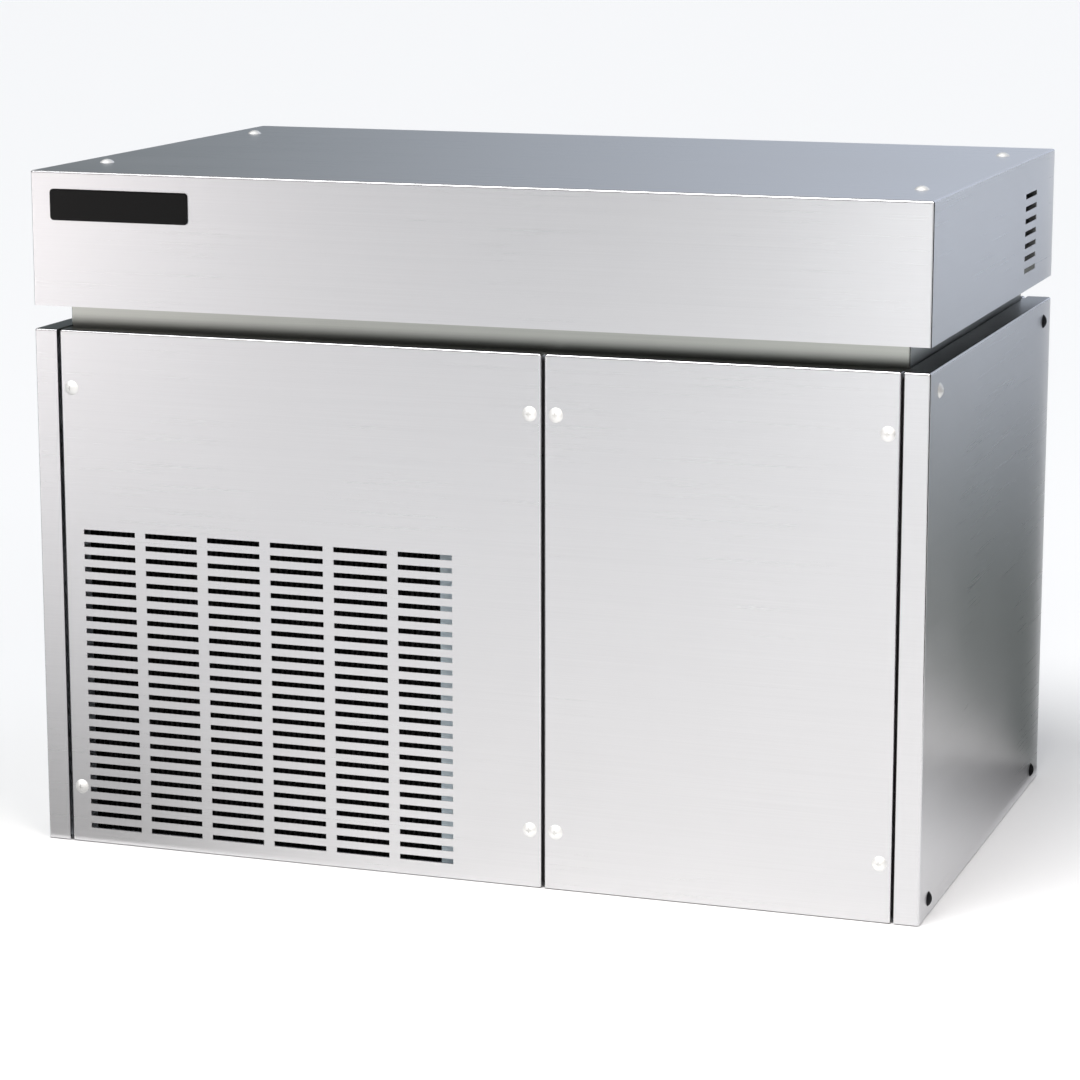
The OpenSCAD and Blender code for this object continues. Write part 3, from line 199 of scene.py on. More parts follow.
print("finishes ready")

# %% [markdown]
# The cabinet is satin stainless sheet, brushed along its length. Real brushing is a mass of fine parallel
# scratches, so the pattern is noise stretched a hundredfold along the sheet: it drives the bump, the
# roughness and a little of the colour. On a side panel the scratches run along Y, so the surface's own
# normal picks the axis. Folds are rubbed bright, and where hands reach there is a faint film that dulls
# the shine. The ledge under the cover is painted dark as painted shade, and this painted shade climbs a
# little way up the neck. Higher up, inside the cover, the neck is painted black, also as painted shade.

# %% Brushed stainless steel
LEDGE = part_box("louvre_panel")[1].z
NECK_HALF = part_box("neck_frame")[1]
NECK_SKIN = 0.001
COVER_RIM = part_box("top_cover")[0].z
SCRATCHES = (5, 1300)
BANDS = (1.2, 170)
SIDEWAYS = 0.7
LYING = (0.75, 0.95)
FOLD_TURN = (0.86, 0.995)
FILM_PATCHES = (0.42, 0.72)
# Painted shade on the ledge: its colour, strength, height and fade, then how far it climbs the neck and
# where the neck is painted black above the cover's rim.
LEDGE_SHADE = rgb(0.06, 0.065, 0.06)
LEDGE_SHADE_COVER = 0.84
LEDGE_SHADE_TOP = 0.01
LEDGE_SHADE_FADE = 0.008
SHADE_CLIMB = 0.015
UPPER_SHADE_FOOT = COVER_RIM + 0.003
UPPER_SHADE_FADE = 0.006


def streaks(finish, run, across, up, per_metre, detail):
    """Noise that changes slowly along the brushing and quickly across it."""
    slow, quick = per_metre
    return finish.noise(finish.vector(run * slow, across * quick, up * quick), scale=1.0, detail=detail)


def brushed_steel(name, light, dark, roughness, on_neck=False):
    finish = Finish(name, {"Metallic": 1.0})
    x, y, z = finish.place()
    face_x, face_y, face_z = finish.facing()
    on_side = face_x > SIDEWAYS
    run = x + (y - x) * on_side
    across = y + (x - y) * on_side
    scratches = streaks(finish, run, across, z, SCRATCHES, detail=3.0)
    bands = streaks(finish, run, across, z, BANDS, detail=2.0)
    film = finish.noise(finish.spot(), scale=3.5, detail=4.0, roughness=0.6).ramp(*FILM_PATCHES)
    fold = 1 - face_x.largest(face_y).largest(face_z).ramp(*FOLD_TURN)
    steel = finish.blend(scratches * 0.85 + bands * 0.15, dark, light)
    outside = (abs(x) - NECK_HALF.x).largest(abs(y) - NECK_HALF.y).ramp(-NECK_SKIN, 0.0)
    # painted shade on the ledge under the cover
    painted_shade = face_z.ramp(*LYING) * (LEDGE + LEDGE_SHADE_TOP - z).ramp(0.0, LEDGE_SHADE_FADE)
    if on_neck:
        # painted shade up the foot of the neck, and painted black above the cover's rim
        climbing = (LEDGE + SHADE_CLIMB - z).ramp(0.0, SHADE_CLIMB)
        upper_shade = z.ramp(UPPER_SHADE_FOOT, UPPER_SHADE_FOOT + UPPER_SHADE_FADE)
        painted_shade = painted_shade.largest(climbing).largest(upper_shade)
    finish.feed(
        base_color=finish.blend(painted_shade * outside * LEDGE_SHADE_COVER, steel, LEDGE_SHADE),
        roughness=roughness + (scratches - 0.5) * 0.1 + (bands - 0.5) * 0.02 + film * 0.03 - fold * 0.1,
        normal=finish.bump(scratches, distance=0.00002, strength=0.15),
    )
    return finish.material


satin_steel = brushed_steel(
    "satin_steel", light=rgb(0.68, 0.68, 0.69), dark=rgb(0.6, 0.6, 0.61), roughness=0.29
)
# A darker copy of the steel for the neck and the deck plate: painted shade under the cover.
neck_steel = brushed_steel(
    "neck_steel", light=rgb(0.47, 0.48, 0.45), dark=rgb(0.39, 0.4, 0.37), roughness=0.3, on_neck=True
)
print("made", satin_steel.name, "and", neck_steel.name)

# %% [markdown]
# The domed screws are tumbled to a pale satin, with fine specks as their only texture. At the foot and the
# back of the sides they are painted near-black, as painted reflection of their dark surroundings, so the
# tone follows the screw's place.

# %% Domed screws
SIDE_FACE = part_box("right_side_panel")[1].x
LOW_SCREWS = 0.3
# Colour of the painted dark reflection on screws at the foot and the back of the sides.
SCREW_DARK_REFLECTION = rgb(0.02, 0.02, 0.022)


def domed_steel(name, light, dark):
    finish = Finish(name, {"Metallic": 1.0})
    x, y, z = finish.place()
    specks = finish.noise(finish.spot(), scale=900.0, detail=3.0)
    # painted reflection: side screws at the back or low down are made dark
    dark_reflection = (abs(x) > SIDE_FACE) * (y > 0).largest(LOW_SCREWS - z > 0)
    finish.feed(
        base_color=finish.blend(dark_reflection, finish.blend(specks, dark, light), SCREW_DARK_REFLECTION),
        roughness=0.58 + specks * 0.08,
        normal=finish.bump(specks, distance=0.00002, strength=0.3),
    )
    return finish.material


screw_steel = domed_steel("screw_steel", light=rgb(0.93, 0.93, 0.92), dark=rgb(0.85, 0.85, 0.84))
print("made", screw_steel.name)

# %% [markdown]
# Hot-dip galvanised sheet carries a frost-like spangle of zinc crystals a centimetre or so across, each
# turned a little differently. Voronoi cells with a random grey per cell give that, with soft borders.
# The condenser's frame gets a pale blue, matt copy that hardly mirrors: painted reflection of the pale
# floor that shows through the grille's slots.

# %% Galvanised sheet
def galvanised(name, light, dark, shine):
    finish = Finish(name, {"Metallic": shine})
    spot = finish.spot()
    cells = finish.node("TexVoronoi", {"feature": "F1"}, {"Vector": spot, "Scale": 95.0}, output="Color")
    spangle = finish.node("SeparateColor", inputs={0: cells})
    grit = finish.noise(spot, scale=420.0, detail=3.0)
    crystal = spangle * 0.7 + grit * 0.3
    finish.feed(
        base_color=finish.blend(crystal, dark, light),
        roughness=0.34 + crystal * 0.22,
        normal=finish.bump(crystal, distance=0.00008, strength=0.4),
    )
    return finish.material


zinc_sheet = galvanised("zinc_sheet", light=rgb(0.78, 0.82, 0.87), dark=rgb(0.58, 0.61, 0.65), shine=1.0)
# Painted light: a paler, matt copy of the zinc for the condenser's frame behind the slots.
pale_zinc = galvanised("pale_zinc", light=rgb(0.82, 0.94, 1.0), dark=rgb(0.74, 0.87, 0.96), shine=0.1)
print("made", zinc_sheet.name, "and", pale_zinc.name)

# %% [markdown]
# Moulded plastics and rubber share one recipe: a colour that wanders slightly, a fine spark-eroded grain
# from the mould and a film of dust on what faces up.

# %% Moulded plastics
DUST = rgb(0.42, 0.4, 0.37)


def moulded(name, colour, roughness, grain=0.00006, dust=0.25, gloss=0.4):
    finish = Finish(name, {"Specular IOR Level": gloss})
    spot = finish.spot()
    face_up = finish.facing()[2]
    pores = finish.noise(spot, scale=1400.0, detail=2.0)
    cloud = finish.noise(spot, scale=14.0, detail=3.0)
    settled = face_up.ramp(0.75, 1.0) * cloud.ramp(0.35, 0.75) * dust
    tone = finish.blend(cloud * 0.7 + pores * 0.3, shaded(colour, 0.8), colour)
    finish.feed(
        base_color=finish.blend(settled, tone, DUST),
        roughness=roughness + (pores - 0.5) * 0.12 + settled * 0.3,
        normal=finish.bump(pores, distance=grain, strength=0.5),
    )
    return finish.material


white_plastic = moulded("white_plastic", rgb(0.8, 0.8, 0.77), roughness=0.42)
orange_plastic = moulded("orange_plastic", rgb(0.8, 0.22, 0.04), roughness=0.38)
black_plastic = moulded("black_plastic", rgb(0.025, 0.025, 0.027), roughness=0.45)
blue_plastic = moulded("blue_plastic", rgb(0.05, 0.14, 0.32), roughness=0.36)
grey_hose = moulded("grey_hose", rgb(0.32, 0.33, 0.34), roughness=0.5)
badge_plastic = moulded("badge_plastic", grey(0.004), roughness=0.3, grain=0.00002, dust=0.0, gloss=0.12)
foot_rubber = moulded("foot_rubber", grey(0.02), roughness=0.75, grain=0.0001)
seal_foam = moulded("seal_foam", rgb(0.06, 0.06, 0.065), roughness=0.85, grain=0.0003)
print("made eight moulded finishes")

# %% [markdown]
# Painted pieces have a paint film with an orange-peel skin. On castings the sand's grain shows through it,
# and it is chipped to bare metal in small spots.

# %% Painted metal
BARE_METAL = rgb(0.45, 0.44, 0.42)
CHIP_EDGE = 0.02


def painted(name, colour, roughness, skin_scale, skin_depth, chips):
    finish = Finish(name, {"Coat Roughness": 0.2})
    spot = finish.spot()
    skin = finish.noise(spot, skin_scale, detail=2.0)
    cloud = finish.noise(spot, scale=9.0, detail=4.0, roughness=0.6)
    chipping = finish.noise(spot, scale=70.0, detail=5.0, roughness=0.7)
    worn = chipping.ramp(1 - chips, 1 - chips + CHIP_EDGE)
    paint = finish.blend(cloud, shaded(colour, 0.75), colour)
    finish.feed(
        base_color=finish.blend(worn, paint, BARE_METAL),
        metallic=worn,
        roughness=roughness + (cloud - 0.5) * 0.15 + worn * 0.1,
        coat_weight=0.3 - worn * 0.3,
        normal=finish.bump(skin, distance=skin_depth, strength=0.6),
    )
    return finish.material


casting_paint = painted(
    "casting_paint", rgb(0.16, 0.17, 0.19), roughness=0.5,
    skin_scale=520.0, skin_depth=0.00025, chips=0.3,
)
shell_enamel = painted(
    "shell_enamel", rgb(0.012, 0.012, 0.013), roughness=0.3,
    skin_scale=260.0, skin_depth=0.00008, chips=0.28,
)
print("made", casting_paint.name, "and", shell_enamel.name)

# %% [markdown]
# Copper tube and brass fittings tarnish: bright metal where they are handled, brown where they are not.
# The aluminium fins are thin plates a couple of millimetres apart, drawn here as fine ridges along X. They
# are painted near-black, as painted shade behind the grille.

# %% Copper, brass and fins
FIN_RIDGES = 3000


def tarnished(name, bright, dull, roughness):
    finish = Finish(name, {"Metallic": 1.0})
    spot = finish.spot()
    tarnish = finish.noise(spot, scale=26.0, detail=6.0, roughness=0.65).ramp(0.35, 0.7)
    rub = finish.noise(spot, scale=700.0, detail=2.0)
    finish.feed(
        base_color=finish.blend(tarnish, bright, dull),
        roughness=roughness + tarnish * 0.2 + (rub - 0.5) * 0.1,
        normal=finish.bump(rub, distance=0.00004, strength=0.4),
    )
    return finish.material


def finned(name, bright, dusty):
    finish = Finish(name, {"Metallic": 1.0})
    ridges = (finish.place()[0] * FIN_RIDGES).wave()
    lint = finish.noise(finish.spot(), scale=60.0, detail=5.0, roughness=0.65).ramp(0.4, 0.75)
    finish.feed(
        base_color=finish.blend(lint, bright, dusty),
        roughness=0.55 + lint * 0.3,
        normal=finish.bump(ridges, distance=0.0004, strength=0.5),
    )
    return finish.material


copper = tarnished("copper", bright=rgb(0.85, 0.45, 0.28), dull=rgb(0.38, 0.18, 0.1), roughness=0.24)
brass = tarnished("brass", bright=rgb(0.82, 0.62, 0.28), dull=rgb(0.45, 0.32, 0.14), roughness=0.28)
# near-black fins: painted shade behind the grille
fins = finned("fins", bright=rgb(0.03, 0.03, 0.031), dusty=rgb(0.016, 0.015, 0.014))
print("made", copper.name, brass.name, "and", fins.name)

# %% [markdown]
# The freezing drum is plated steel under a skin of frost. The blade scrapes it clean in rings round the
# drum, so the rime lies in fine bands that change along X, broken up by crystals and by thicker patches.

# %% Frosted drum
RINGS_ALONG = 240
RINGS_ROUND = 6


def frosted(name, metal, rime):
    finish = Finish(name, {"Specular IOR Level": 0.5})
    x, y, z = finish.place()
    spot = finish.spot()
    stretched = finish.vector(x * RINGS_ALONG, y * RINGS_ROUND, z * RINGS_ROUND)
    rings = finish.noise(stretched, scale=1.0, detail=3.0)
    crystals = finish.noise(spot, scale=380.0, detail=4.0, roughness=0.7)
    patches = finish.noise(spot, scale=30.0, detail=4.0)
    frost = (rings * 0.4 + crystals * 0.35 + patches * 0.25).ramp(0.32, 0.56)
    finish.feed(
        base_color=finish.blend(frost, metal, rime),
        metallic=1 - frost,
        roughness=0.3 + frost * 0.4,
        normal=finish.bump(crystals * frost, distance=0.0004, strength=0.6),
    )
    return finish.material


drum_frost = frosted("drum_frost", metal=rgb(0.66, 0.67, 0.68), rime=rgb(0.82, 0.87, 0.9))
print("made", drum_frost.name)

# %% [markdown]
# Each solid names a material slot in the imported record. One table turns slots into finishes, and a second
# one holds the few nodes whose finish differs from the rest of their slot.

# %% Dress the solids
SLOT_FINISH = {
    "stainless": satin_steel,
    "domed_screw": screw_steel,
    "galvanised": zinc_sheet,
    "black_badge": badge_plastic,
    "insulation_foam": seal_foam,
    "white_plastic": white_plastic,
    "orange_plastic": orange_plastic,
    "black_plastic": black_plastic,
    "blue_plastic": blue_plastic,
    "grey_hose": grey_hose,
    "cast_housing": casting_paint,
    "black_paint": shell_enamel,
    "rubber_foot": foot_rubber,
    "aluminium_fin": fins,
    "copper_pipe": copper,
    "brass_fitting": brass,
}
NODE_FINISH = {
    "evaporator_drum": drum_frost,
    "neck_frame": neck_steel,
    "deck_plate": neck_steel,
    "condenser_frame": pale_zinc,
    "scraper_screws": screw_steel,
}

for entry in frame["record"]["subparts"]:
    name = entry["node"]
    finish = NODE_FINISH.get(name, SLOT_FINISH[entry["material_slot"]])
    for slot in nodes[name].material_slots:
        slot.material = finish
print("dressed", len(nodes), "solids")

# %% [markdown]
# The small fittings are modelled here. Each starts from a plain primitive and is shaped in edit mode, so a
# few helpers make a block, pick the edges or faces to work on, and finish a piece off.

# %% Modelling helpers
SMOOTH_UP_TO = math.radians(35)


def settle():
    """Puts the place, turn and size of what is selected into its mesh."""
    bpy.ops.object.transform_apply(location=True, rotation=True, scale=True)


def start(name):
    """Names the primitive that was just added and puts its turn and size into its mesh."""
    piece = bpy.context.object
    piece.name = name
    piece.data.name = name
    settle()
    return piece


def select_only(piece):
    bpy.ops.object.select_all(action="DESELECT")
    bpy.context.view_layer.objects.active = piece
    piece.select_set(True)


def add_block(name, low, high):
    bpy.ops.object.select_all(action="DESELECT")
    bpy.ops.mesh.primitive_cube_add(size=1, location=(Vector(low) + Vector(high)) / 2)
    bpy.ops.transform.resize(value=Vector(high) - Vector(low))
    return start(name)


def pick_edges(piece, wanted):
    """Goes into edit mode with the edges selected whose two ends pass the test."""
    bpy.context.tool_settings.mesh_select_mode = (False, True, False)
    points = piece.data.vertices
    for part in (*piece.data.polygons, *points):
        part.select = False
    for edge in piece.data.edges:
        edge.select = wanted(points[edge.vertices[0]].co, points[edge.vertices[1]].co)
    bpy.ops.object.mode_set(mode="EDIT")


def pick_faces(piece, wanted):
    """Goes into edit mode with the faces selected whose normal passes the test."""
    bpy.context.tool_settings.mesh_select_mode = (False, False, True)
    for part in (*piece.data.edges, *piece.data.vertices):
        part.select = False
    for face in piece.data.polygons:
        face.select = wanted(face.normal)
    bpy.ops.object.mode_set(mode="EDIT")


def leave():
    bpy.ops.object.mode_set(mode="OBJECT")


def complete(piece, material):
    """Shades a piece, gives it its finish and lets it ride on the casing."""
    select_only(piece)
    bpy.ops.object.shade_smooth_by_angle(angle=SMOOTH_UP_TO)
    piece.data.materials.clear()
    piece.data.materials.append(material)
    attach(piece, "casing")
    print(piece.name, len(piece.data.polygons), "faces")


print("modelling helpers ready")

# %% [markdown]
# The badge is a bare black plate at the cover's front left. A moulded plate has rounded corners and a
# softened rim with a shallow field inside it, so the block's four short edges are bevelled wide, its front
# rim is bevelled fine, and the front face is inset and pushed back a little.

# %% Badge plate
badge_low, badge_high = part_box("badge_plate")
BADGE_CORNER = 0.004
BADGE_RIM = 0.0004
BADGE_BORDER = 0.0012
BADGE_FIELD = 0.0002

badge_half = (badge_high.y - badge_low.y) / 2


def faces_front(normal):
    return normal.y < -0.99


badge = add_block("badge_moulding", badge_low, badge_high)
pick_edges(badge, lambda a, b: abs(a.y - b.y) > badge_half)
bpy.ops.mesh.bevel(offset=BADGE_CORNER, segments=6, affect="EDGES")
leave()
pick_faces(badge, faces_front)
bpy.ops.mesh.bevel(offset=BADGE_RIM, segments=2, affect="EDGES")
leave()
pick_faces(badge, faces_front)
bpy.ops.mesh.inset(thickness=BADGE_BORDER)
bpy.ops.mesh.inset(thickness=BADGE_FIELD)
bpy.ops.transform.translate(value=(0, BADGE_FIELD, 0))
leave()
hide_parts("badge_plate")
complete(badge, badge_plastic)

# %% [markdown]
# In each of the three joints of the front a black rubber strip fills the gap between the sheets, as on a
# real cabinet, where it keeps warm air and splashes out; its black is also painted shade deep in the joint.
# The one in
# the middle joint is modelled: a long block whose front edges are bevelled to a round nose, which stops
# short of the panels' faces.

# %% Middle joint's seal
SEAL_CLEARANCE = 0.0005
SEAL_SET_BACK = 0.0055
SEAL_BACK = 0.0002
SEAL_FOOT = 0.003
SEAL_HEAD = 0.007
SEAL_NOSE = 0.0009

louvre_low, louvre_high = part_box("louvre_panel")
service_low, service_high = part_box("service_panel")
FRONT_FACE = louvre_low.y

seal_low = Vector((louvre_high.x + SEAL_CLEARANCE, FRONT_FACE + SEAL_SET_BACK, louvre_low.z + SEAL_FOOT))
seal_high = Vector((service_low.x - SEAL_CLEARANCE, louvre_high.y - SEAL_BACK, LEDGE - SEAL_HEAD))
seal_middle = (seal_low + seal_high) / 2
seal_half = (seal_high.z - seal_low.z) / 2
joint_seal = add_block("joint_seal", seal_low, seal_high)
pick_edges(joint_seal, lambda a, b: abs(a.z - b.z) > seal_half and a.y < seal_middle.y)
bpy.ops.mesh.bevel(offset=SEAL_NOSE, segments=4, affect="EDGES")
leave()
print("seal", [round(side, 4) for side in seal_high - seal_low], "m")

# %% [markdown]
# The joints beside the two side panels are as wide, so their strips are copies that are moved along. Each
# copy has a mesh of its own, because a shared mesh would move with all its objects when the place is
# applied.

# %% Side joints' seals
def copied(piece, name):
    """A copy with a mesh of its own, ready to be moved."""
    twin = piece.copy()
    twin.data = piece.data.copy()
    twin.name = name
    twin.data.name = name
    bpy.context.scene.collection.objects.link(twin)
    select_only(twin)
    return twin


side_joints = {
    "left_seal": (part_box("left_side_panel")[1].x + louvre_low.x) / 2,
    "right_seal": (service_high.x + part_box("right_side_panel")[0].x) / 2,
}
seals = [joint_seal]
for name, joint in side_joints.items():
    seals.append(copied(joint_seal, name))
    bpy.ops.transform.translate(value=(joint - seal_middle.x, 0, 0))
    settle()
# the strips' black also stands in for the shade deep in each joint
for strip in seals:
    complete(strip, foot_rubber)

# %% [markdown]
# Water and current come in through the rear panel, and water drains away through it. The fittings there
# are round, so they are turned: a closed section is drawn beside the pipe's axis and spun about it, as on
# a lathe.

# %% Turning
LATHE_STEPS = 64


def loop_of_points(name, points):
    """A closed loop of edges through the points given."""
    bpy.ops.object.select_all(action="DESELECT")
    bpy.ops.mesh.primitive_circle_add(vertices=len(points), radius=1)
    loop = start(name)
    for vertex, point in zip(loop.data.vertices, points):
        vertex.co = point
    return loop


def turned(name, section, centre, base):
    """A ring turned about a line along Y: section is a loop of radii, each with a distance from base."""
    x, z = centre
    piece = loop_of_points(name, [(x + radius, base + along, z) for radius, along in section])
    bpy.ops.object.mode_set(mode="EDIT")
    bpy.ops.mesh.select_all(action="SELECT")
    bpy.ops.mesh.spin(steps=LATHE_STEPS, angle=math.tau, center=(x, 0, z), axis=(0, 1, 0))
    bpy.ops.mesh.select_all(action="SELECT")
    bpy.ops.mesh.remove_doubles(threshold=0.00001)
    bpy.ops.mesh.normals_make_consistent(inside=False)
    leave()
    return piece


print("lathe ready")

# %% [markdown]
# Each pipe passes a rubber grommet, a ring with rounded lips, so that the sheet's cut edge can't saw into
# it. It is thin, to leave room for a hose nut. The record's mounts say where the pipes are.

# %% Rear grommets
REAR_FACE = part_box("rear_panel")[1].y
LIP = 0.0018
LIP_SOFT = 0.3 * LIP
LIP_CORNER = [(0, 2), (0.3, 0.9), (1, 0.2), (2, 0)]
INLET_RING = (0.0158, 0.0215)
DRAIN_RING = (0.0146, 0.0200)

mounts = {mount["name"]: mount["pos_m"] for mount in frame["record"]["mounts"]}


def axis_of(mount):
    """X and Z of a connection whose axis runs along Y."""
    return mounts[mount][0], mounts[mount][2]


def grommet(name, centre, ring):
    inner, outer = ring
    corner = [(inward * LIP_SOFT, LIP - down * LIP_SOFT) for inward, down in LIP_CORNER]
    outer_lip = [(outer - inward, height) for inward, height in corner]
    inner_lip = [(inner + inward, height) for inward, height in reversed(corner)]
    piece = turned(name, [(inner, 0), (outer, 0), *outer_lip, *inner_lip], centre, REAR_FACE)
    complete(piece, foot_rubber)


INLET = axis_of("water_inlet")
grommet("inlet_grommet", INLET, INLET_RING)
grommet("drain_grommet", axis_of("drain"), DRAIN_RING)

# %% [markdown]
# The inlet valve is one moulding: a block inside the panel with its coil beside it, a stub for the hose
# and a nipple with a thread for a hose nut. The thread comes first. It is one tooth carried round a helix.
# Bump could only hint at it, so the tooth's section is swept by a Screw modifier and its two ends are
# closed.

# %% Inlet thread
THREAD_PITCH = 0.001814
THREAD_TURNS = 10
THREAD_STEPS = 48
THREAD_START = 0.0018
THREAD_ROOT = 0.0122
THREAD_CREST = 0.0132
TOOTH_FOOT = 0.00075
TOOTH_TIP = 0.0002


def thread_ridge(name, centre, base):
    tooth = [
        (THREAD_ROOT, base - TOOTH_FOOT, 0),
        (THREAD_CREST, base - TOOTH_TIP, 0),
        (THREAD_CREST, base + TOOTH_TIP, 0),
        (THREAD_ROOT, base + TOOTH_FOOT, 0),
    ]
    ridge = loop_of_points(name, tooth)
    sweep = ridge.modifiers.new("helix", "SCREW")
    sweep.axis = "Y"
    sweep.screw_offset = THREAD_PITCH
    sweep.iterations = THREAD_TURNS
    sweep.steps = THREAD_STEPS
    sweep.render_steps = THREAD_STEPS
    bpy.ops.object.modifier_apply(modifier="helix")
    bpy.ops.object.mode_set(mode="EDIT")
    bpy.ops.mesh.select_all(action="SELECT")
    bpy.ops.mesh.fill_holes(sides=len(tooth))
    bpy.ops.mesh.select_all(action="SELECT")
    bpy.ops.mesh.normals_make_consistent(inside=False)
    bpy.ops.transform.translate(value=(centre[0], 0, centre[1]))
    leave()
    return ridge


thread = thread_ridge("inlet_thread", INLET, REAR_FACE + THREAD_START)
print("thread of", len(thread.data.polygons), "faces")

# %% [markdown]
# The valve's body and its coil are blocks with all their edges rounded, as a mould leaves them. The coil
# bites a little into the body, so that the two read as one moulding.

# %% Valve body and coil
VALVE_HALF = 0.018
VALVE_GAP = 0.001
VALVE_ROUNDING = 0.0025
COIL_HALF = 0.016
COIL_OVERLAP = 0.0015
COIL_LENGTH = 0.034
COIL_ROUNDING = 0.004


def round_edges(piece, rounding):
    pick_edges(piece, lambda a, b: True)
    bpy.ops.mesh.bevel(offset=rounding, segments=3, affect="EDGES")
    leave()


inlet_x, inlet_z = INLET
valve_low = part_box("inlet_valve")[0]
body_low = (inlet_x - VALVE_HALF, valve_low.y, inlet_z - VALVE_HALF)
body_high = (inlet_x + VALVE_HALF, REAR_FACE - VALVE_GAP, inlet_z + VALVE_HALF)
coil_low = (valve_low.x, valve_low.y + VALVE_GAP, inlet_z - COIL_HALF)
coil_high = (body_low[0] + COIL_OVERLAP, coil_low[1] + COIL_LENGTH, inlet_z + COIL_HALF)
valve = add_block("inlet_moulding", body_low, body_high)
round_edges(valve, VALVE_ROUNDING)
coil = add_block("inlet_coil", coil_low, coil_high)
round_edges(coil, COIL_ROUNDING)
print("body and coil of", len(valve.data.polygons) + len(coil.data.polygons), "faces")

# %% [markdown]
# The nipple is a turned tube with a collar that shows round it in the grommet. The thread's root lies just
# inside its core, so that the ridge grows out of it, and its end is drawn in to lead the nut on.

# %% Valve nipple
NIPPLE_BORE = 0.0092
NIPPLE_CORE = 0.01235
NIPPLE_END = 0.022
NIPPLE_LEAD = (0.00065, 0.0008)
COLLAR = 0.0157
COLLAR_HALF = 0.002
SOFT_EDGE = 0.0005

nipple = turned("inlet_nipple", [
    (NIPPLE_BORE, -COLLAR_HALF),
    (COLLAR - SOFT_EDGE, -COLLAR_HALF),
    (COLLAR, SOFT_EDGE - COLLAR_HALF),
    (COLLAR, COLLAR_HALF - SOFT_EDGE),
    (COLLAR - SOFT_EDGE, COLLAR_HALF),
    (NIPPLE_CORE, COLLAR_HALF),
    (NIPPLE_CORE, NIPPLE_END - NIPPLE_LEAD[1]),
    (NIPPLE_CORE - NIPPLE_LEAD[0], NIPPLE_END),
    (NIPPLE_BORE + SOFT_EDGE, NIPPLE_END),
    (NIPPLE_BORE, NIPPLE_END - SOFT_EDGE),
], INLET, REAR_FACE)
print("nipple of", len(nipple.data.polygons), "faces")

# %% [markdown]
# The stub that the inner hose pushes on to stands upright. It is turned along Y like the rest and then
# swung up about a point on the inlet's axis. Then all the parts of the valve become one piece, which
# stands for the solid.

# %% Valve stub, and the whole valve
STUB_IN = 0.044
STUB_BORE = 0.003
STUB_RADIUS = 0.005
STUB_FOOT = 0.014
STUB_END = 0.04
STUB_EDGE = 0.0002


def joined(first, *others):
    select_only(first)
    for piece in others:
        piece.select_set(True)
    bpy.ops.object.join()
    return first


stub_place = REAR_FACE - STUB_IN
hose_stub = turned("inlet_stub", [
    (STUB_BORE, STUB_FOOT),
    (STUB_RADIUS, STUB_FOOT),
    (STUB_RADIUS, STUB_END - STUB_EDGE),
    (STUB_RADIUS - STUB_EDGE, STUB_END),
    (STUB_BORE, STUB_END),
], INLET, stub_place)
pivot = (inlet_x, stub_place, inlet_z)
bpy.ops.transform.rotate(value=-math.pi / 2, orient_axis="X", center_override=pivot)
settle()
print("stub from", round(min(point.co.z for point in hose_stub.data.vertices), 4), "m up")
valve = joined(valve, coil, nipple, hose_stub, thread)
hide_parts("inlet_valve")
complete(valve, blue_plastic)

# %% [markdown]
# The cable gland is a moulded screw fitting: a hexagon against the panel, a domed cap with grip ribs and a
# seal that closes on the cable, with a sleeve and a nut behind the sheet. Cap, seal and sleeve are turned,
# and the hexagons are six-sided cylinders, rounded off and then bored with a Boolean.

# %% Gland hexagons
GLAND = axis_of("cable_entry")
HEX_ROUNDING = 0.0006


def bar_along_y(sides, radius, length, place):
    bpy.ops.object.select_all(action="DESELECT")
    bpy.ops.mesh.primitive_cylinder_add(
        vertices=sides, radius=radius, depth=length, location=place, rotation=(math.pi / 2, 0, 0)
    )


def hexagon(name, across_corners, near, far, bore):
    """A six-sided nut on the gland's axis, from near to far as seen from the rear panel's face."""
    place = (GLAND[0], REAR_FACE + (near + far) / 2, GLAND[1])
    bar_along_y(sides=6, radius=across_corners / 2, length=far - near, place=place)
    piece = start(name)
    round_edges(piece, HEX_ROUNDING)
    bar_along_y(sides=LATHE_STEPS, radius=bore / 2, length=2 * (far - near), place=place)
    drill = start(name + "_drill")
    select_only(piece)
    cut = piece.modifiers.new("bore", "BOOLEAN")
    cut.operation = "DIFFERENCE"
    cut.object = drill
    bpy.ops.object.modifier_apply(modifier="bore")
    bpy.data.objects.remove(drill)
    return piece


hex_flange = hexagon("gland_fitting", across_corners=0.027, near=0.0002, far=0.0065, bore=0.019)
back_nut = hexagon("gland_back_nut", across_corners=0.0265, near=-0.0105, far=-0.0025, bore=0.0198)
print("hexagons:", hex_flange.name, "and", back_nut.name)

# %% [markdown]
# The cap's dome is drawn point by point as its section. One rib is modelled on top of the cap, a block
# with its outer edges rounded, and the others are copies that are swung round the gland's axis.

# %% Cable gland
CABLE_RADIUS = 0.0045
CAP_BORE = 0.0050
RIB_COUNT = 14
RIB_HALF = 0.0007
RIB_FROM = 0.0066
RIB_TO = 0.0122
RIB_ROOT = 0.0100
RIB_CREST = 0.0112
RIB_ROUNDING = 0.0004

